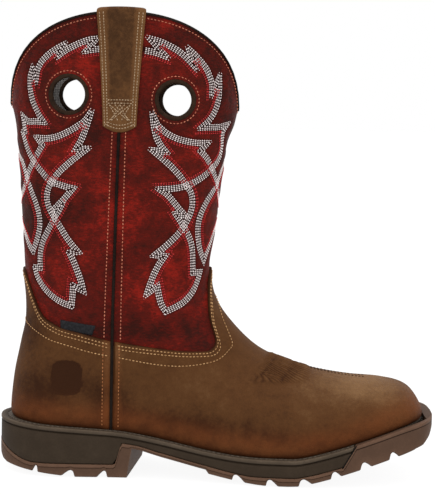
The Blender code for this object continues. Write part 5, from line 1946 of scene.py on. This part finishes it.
def boot_finishes(colours):
    """All materials of the boot by their names, made once."""
    leg = [tuple(c) for c in (colours.leg_dark, colours.leg, colours.leg_light)]
    foot = [tuple(c) for c in (colours.foot_dark, colours.foot, colours.foot_light)]
    trim = [tuple(share * c for c in colours.trim) for share in (0.5, 1.0, 1.8)]
    rim = [(0.010, 0.006, 0.004), (0.026, 0.014, 0.008), (0.05, 0.028, 0.016)]
    strap = [(0.046, 0.020, 0.008), (0.108, 0.047, 0.017), (0.172, 0.083, 0.030)]
    sole, midsole = tuple(colours.sole), tuple(colours.midsole)
    # The outsole's lighter colour, for painted highlights, uneven tone and dust
    sole_lighter = tuple(min(1.9 * c, 1) for c in sole)
    flat, even = (1.0, 1.0, 2.4), (1.0, 1.0, 1.0)
    rows = [
        (leather, "red_leather", leg, 0.75 * MM, flat, 0.50, 0.02, 1.25),
        (leather, "foot_leather", foot, 0.85 * MM, even, 0.58, 0.0, 0.42),
        (leather, "strap_leather", strap, 0.8 * MM, even, 0.60, 0.0, 0.6),
        (leather, "trim_leather", trim, 0.8 * MM, even, 0.60, 0.0),
        (leather, "rim_leather", rim, 0.8 * MM, even, 0.60, 0.0),
        (mesh_lining, "mesh_lining", (0.10, 0.095, 0.09), (0.28, 0.26, 0.245)),
        (pad_cloth, "footbed", (0.10, 0.095, 0.085), (0.26, 0.245, 0.22)),
        (rubber, "welt_leather", (0.050, 0.036, 0.024), (0.13, 0.095, 0.066), 0.62, 0.35),
        (rubber, "midsole_rubber", midsole, (0.052, 0.036, 0.023), 0.66, 0.15),
        (rubber, "outsole_rubber", sole, sole_lighter, 0.62, 0.30),
        (thread, "light_thread", tuple(colours.thread), (0.70, 0.60, 0.58)),
        (thread, "red_thread", (0.55, 0.045, 0.045), (0.34, 0.022, 0.024)),
        (thread, "pink_thread", (0.60, 0.22, 0.13), (0.36, 0.10, 0.06)),
        (thread, "tan_thread", (0.42, 0.17, 0.065), (0.24, 0.085, 0.030)),
        (thread, "edge_thread", (0.60, 0.36, 0.17), (0.34, 0.18, 0.075)),
        (thread, "dark_thread", (0.030, 0.012, 0.006), (0.012, 0.006, 0.004)),
        (thread, "joint_shadow", (0.006, 0.005, 0.004), (0.003, 0.0025, 0.002)),
        (thread, "cream_thread", (0.46, 0.33, 0.21), (0.26, 0.17, 0.10)),
        (thread, "welt_thread", (0.11, 0.085, 0.065), (0.06, 0.045, 0.035)),
        (thread, "tag_cloth", (0.016, 0.016, 0.018), (0.008, 0.008, 0.009)),
    ]
    known = bpy.data.materials
    return {name: known.get(name) or make(name, *values) for make, name, *values in rows}


def run_makers(context, *makers):
    """Runs piece makers with the scene's sizes and the boot's materials."""
    finishes = boot_finishes(context.scene.boot_colours)
    for make in makers:
        make(context.scene.boot_sizes, finishes)
    return {"FINISHED"}


class BOOT_OT_shaft(bpy.types.Operator):
    """Make the red leather shaft with its lining"""

    bl_idname = "boot.shaft"
    bl_label = "Shaft and lining"

    def execute(self, context):
        return run_makers(context, make_upper)


class BOOT_OT_foot(bpy.types.Operator):
    """Make the vamp and the counter"""

    bl_idname = "boot.foot"
    bl_label = "Foot leather"

    def execute(self, context):
        return run_makers(context, make_foot_leather)


class BOOT_OT_trim(bpy.types.Operator):
    """Make piping, collar edge, hole rims and pull straps"""

    bl_idname = "boot.trim"
    bl_label = "Trim and straps"

    def execute(self, context):
        return run_makers(
            context, make_piping, make_collar_binding, make_hole_bindings, make_straps
        )


class BOOT_OT_threads(bpy.types.Operator):
    """Make all stitches and the woven tag"""

    bl_idname = "boot.threads"
    bl_label = "Threads"

    def execute(self, context):
        return run_makers(
            context, make_pattern_threads, make_seam_threads, make_foot_threads,
            make_strap_threads, make_label,
        )


class BOOT_OT_sole(bpy.types.Operator):
    """Make welt, midsole, outsole and footbed cover"""

    bl_idname = "boot.sole"
    bl_label = "Sole"

    def execute(self, context):
        return run_makers(context, make_welt, make_midsole, make_outsole, dress_insole)


CAMERA_TARGET = np.array([-1.70, 0.0, 160.8]) * MM
CAMERA_RISE, CAMERA_ROLL = math.radians(5.2), math.radians(1.40)
CAMERA_DISTANCE = 1.100
CAMERA_FOCUS = 1531.4
SENSOR = 36.0


def set_place(thing, right, back, spot):
    """Puts a camera or lamp at a spot, with its right and its back turned as given."""
    matrix = np.eye(4)
    matrix[:3] = np.stack([right, np.cross(back, right), back, spot], axis=1)
    thing.matrix_world = Matrix(matrix.tolist())
    bpy.context.scene.collection.objects.link(thing)


def make_camera():
    """The photograph's camera: level with the shaft, a little above, slightly rolled."""
    back = np.array([0.0, -math.cos(CAMERA_RISE), math.sin(CAMERA_RISE)])
    right = unit(np.cross(-back, [0.0, 0.0, 1.0]))
    right = right * math.cos(CAMERA_ROLL) + np.cross(back, right) * math.sin(CAMERA_ROLL)
    data = bpy.data.cameras.new("camera")
    data.sensor_fit = "VERTICAL"
    data.sensor_height = SENSOR
    data.lens = CAMERA_FOCUS / PICTURE_HEIGHT * SENSOR
    data.clip_end = 20.0
    camera = bpy.data.objects.new("camera", data)
    set_place(camera, right, back, CAMERA_TARGET + back * CAMERA_DISTANCE)
    bpy.context.scene.camera = camera


Lamp = namedtuple("Lamp", "name place size power")
LAMPS = [
    Lamp("over", (0.1, -0.2, 1.7), 1.8, 13.0),
    Lamp("front_left", (-1.3, -1.5, 1.1), 1.3, 9.0),
    Lamp("front_right", (1.4, -1.4, 0.9), 1.3, 8.0),
    Lamp("back_left", (-1.1, 1.3, 0.9), 1.2, 6.0),
    Lamp("back_right", (1.2, 1.3, 1.0), 1.2, 6.0),
]


LAMP_AIM = np.array([0.0, 0.0, 0.15])
FLOOR_HALF = 30.0
FLOOR_SINK = 0.1 * MM
FLOOR_GLOW = 0.92


def make_stage():
    """A plain pale floor, a pale surround and large soft lamps turned to the boot."""
    mesh = bpy.data.meshes.new("floor")
    corners = [(-1, -1), (1, -1), (1, 1), (-1, 1)]
    points = [(x * FLOOR_HALF, y * FLOOR_HALF, -FLOOR_SINK) for x, y in corners]
    mesh.from_pydata(points, [], [(0, 1, 2, 3)])
    finish = Finish("floor_paint", 0.9)
    finish.colour((0.10, 0.10, 0.10))
    finish.shader.inputs["Emission Color"].default_value = (1.0, 1.0, 1.0, 1.0)
    finish.shader.inputs["Emission Strength"].default_value = FLOOR_GLOW
    mesh.materials.append(finish.material)
    floor = bpy.data.objects.new("floor", mesh)
    bpy.context.scene.collection.objects.link(floor)
    floor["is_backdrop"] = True
    for lamp in LAMPS:
        data = bpy.data.lights.new(lamp.name, "AREA")
        data.size = lamp.size
        data.energy = lamp.power
        made = bpy.data.objects.new(lamp.name, data)
        back = unit(np.array(lamp.place) - LAMP_AIM)
        set_place(made, unit(np.cross([0.0, 0.0, 1.0], back)), back, lamp.place)
    world = bpy.data.worlds.new("surround")
    world.use_nodes = True
    background = world.node_tree.nodes["Background"]
    background.inputs["Color"].default_value = (1.0, 1.0, 1.0, 1.0)
    background.inputs["Strength"].default_value = 1.0
    bpy.context.scene.world = world
    bpy.context.scene.view_settings.view_transform = "Standard"


class BOOT_OT_stage(bpy.types.Operator):
    """Make the camera, the floor and the lamps"""

    bl_idname = "boot.stage"
    bl_label = "Camera and stage"

    def execute(self, context):
        make_camera()
        make_stage()
        return {"FINISHED"}


OPERATORS = (
    BOOT_OT_stage, BOOT_OT_shaft, BOOT_OT_foot, BOOT_OT_trim, BOOT_OT_threads, BOOT_OT_sole,
)


class BOOT_PT_panel(bpy.types.Panel):
    """Sizes, colours and the steps that build the boot"""

    bl_idname = "BOOT_PT_panel"
    bl_label = "Western work boot"
    bl_space_type = "VIEW_3D"
    bl_region_type = "UI"
    bl_category = "Boot"

    def draw(self, context):
        for group in (context.scene.boot_sizes, context.scene.boot_colours):
            box = self.layout.box()
            for key in group.__annotations__:
                box.prop(group, key)
        for operator in OPERATORS:
            self.layout.operator(operator.bl_idname)


CLASSES = (BootSizes, BootColours, *OPERATORS, BOOT_PT_panel)


def register():
    """Adds the boot's settings, operators and panel."""
    for known in CLASSES:
        bpy.utils.register_class(known)
    bpy.types.Scene.boot_sizes = bpy.props.PointerProperty(type=BootSizes)
    bpy.types.Scene.boot_colours = bpy.props.PointerProperty(type=BootColours)


def unregister():
    """Takes them out again."""
    del bpy.types.Scene.boot_colours
    del bpy.types.Scene.boot_sizes
    for known in reversed(CLASSES):
        bpy.utils.unregister_class(known)


def plain(box):
    """A box as plain lists of numbers."""
    return [[float(value) for value in corner] for corner in box]


def main():
    """Builds the boot with the operators."""
    register()
    bpy.ops.boot.stage()
    bpy.ops.boot.shaft()
    bpy.ops.boot.foot()
    bpy.ops.boot.trim()
    bpy.ops.boot.threads()
    bpy.ops.boot.sole()
    {"cad": plain(CAD_BOX), "visual": plain(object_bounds())}


if __name__ == "__main__":
    main()
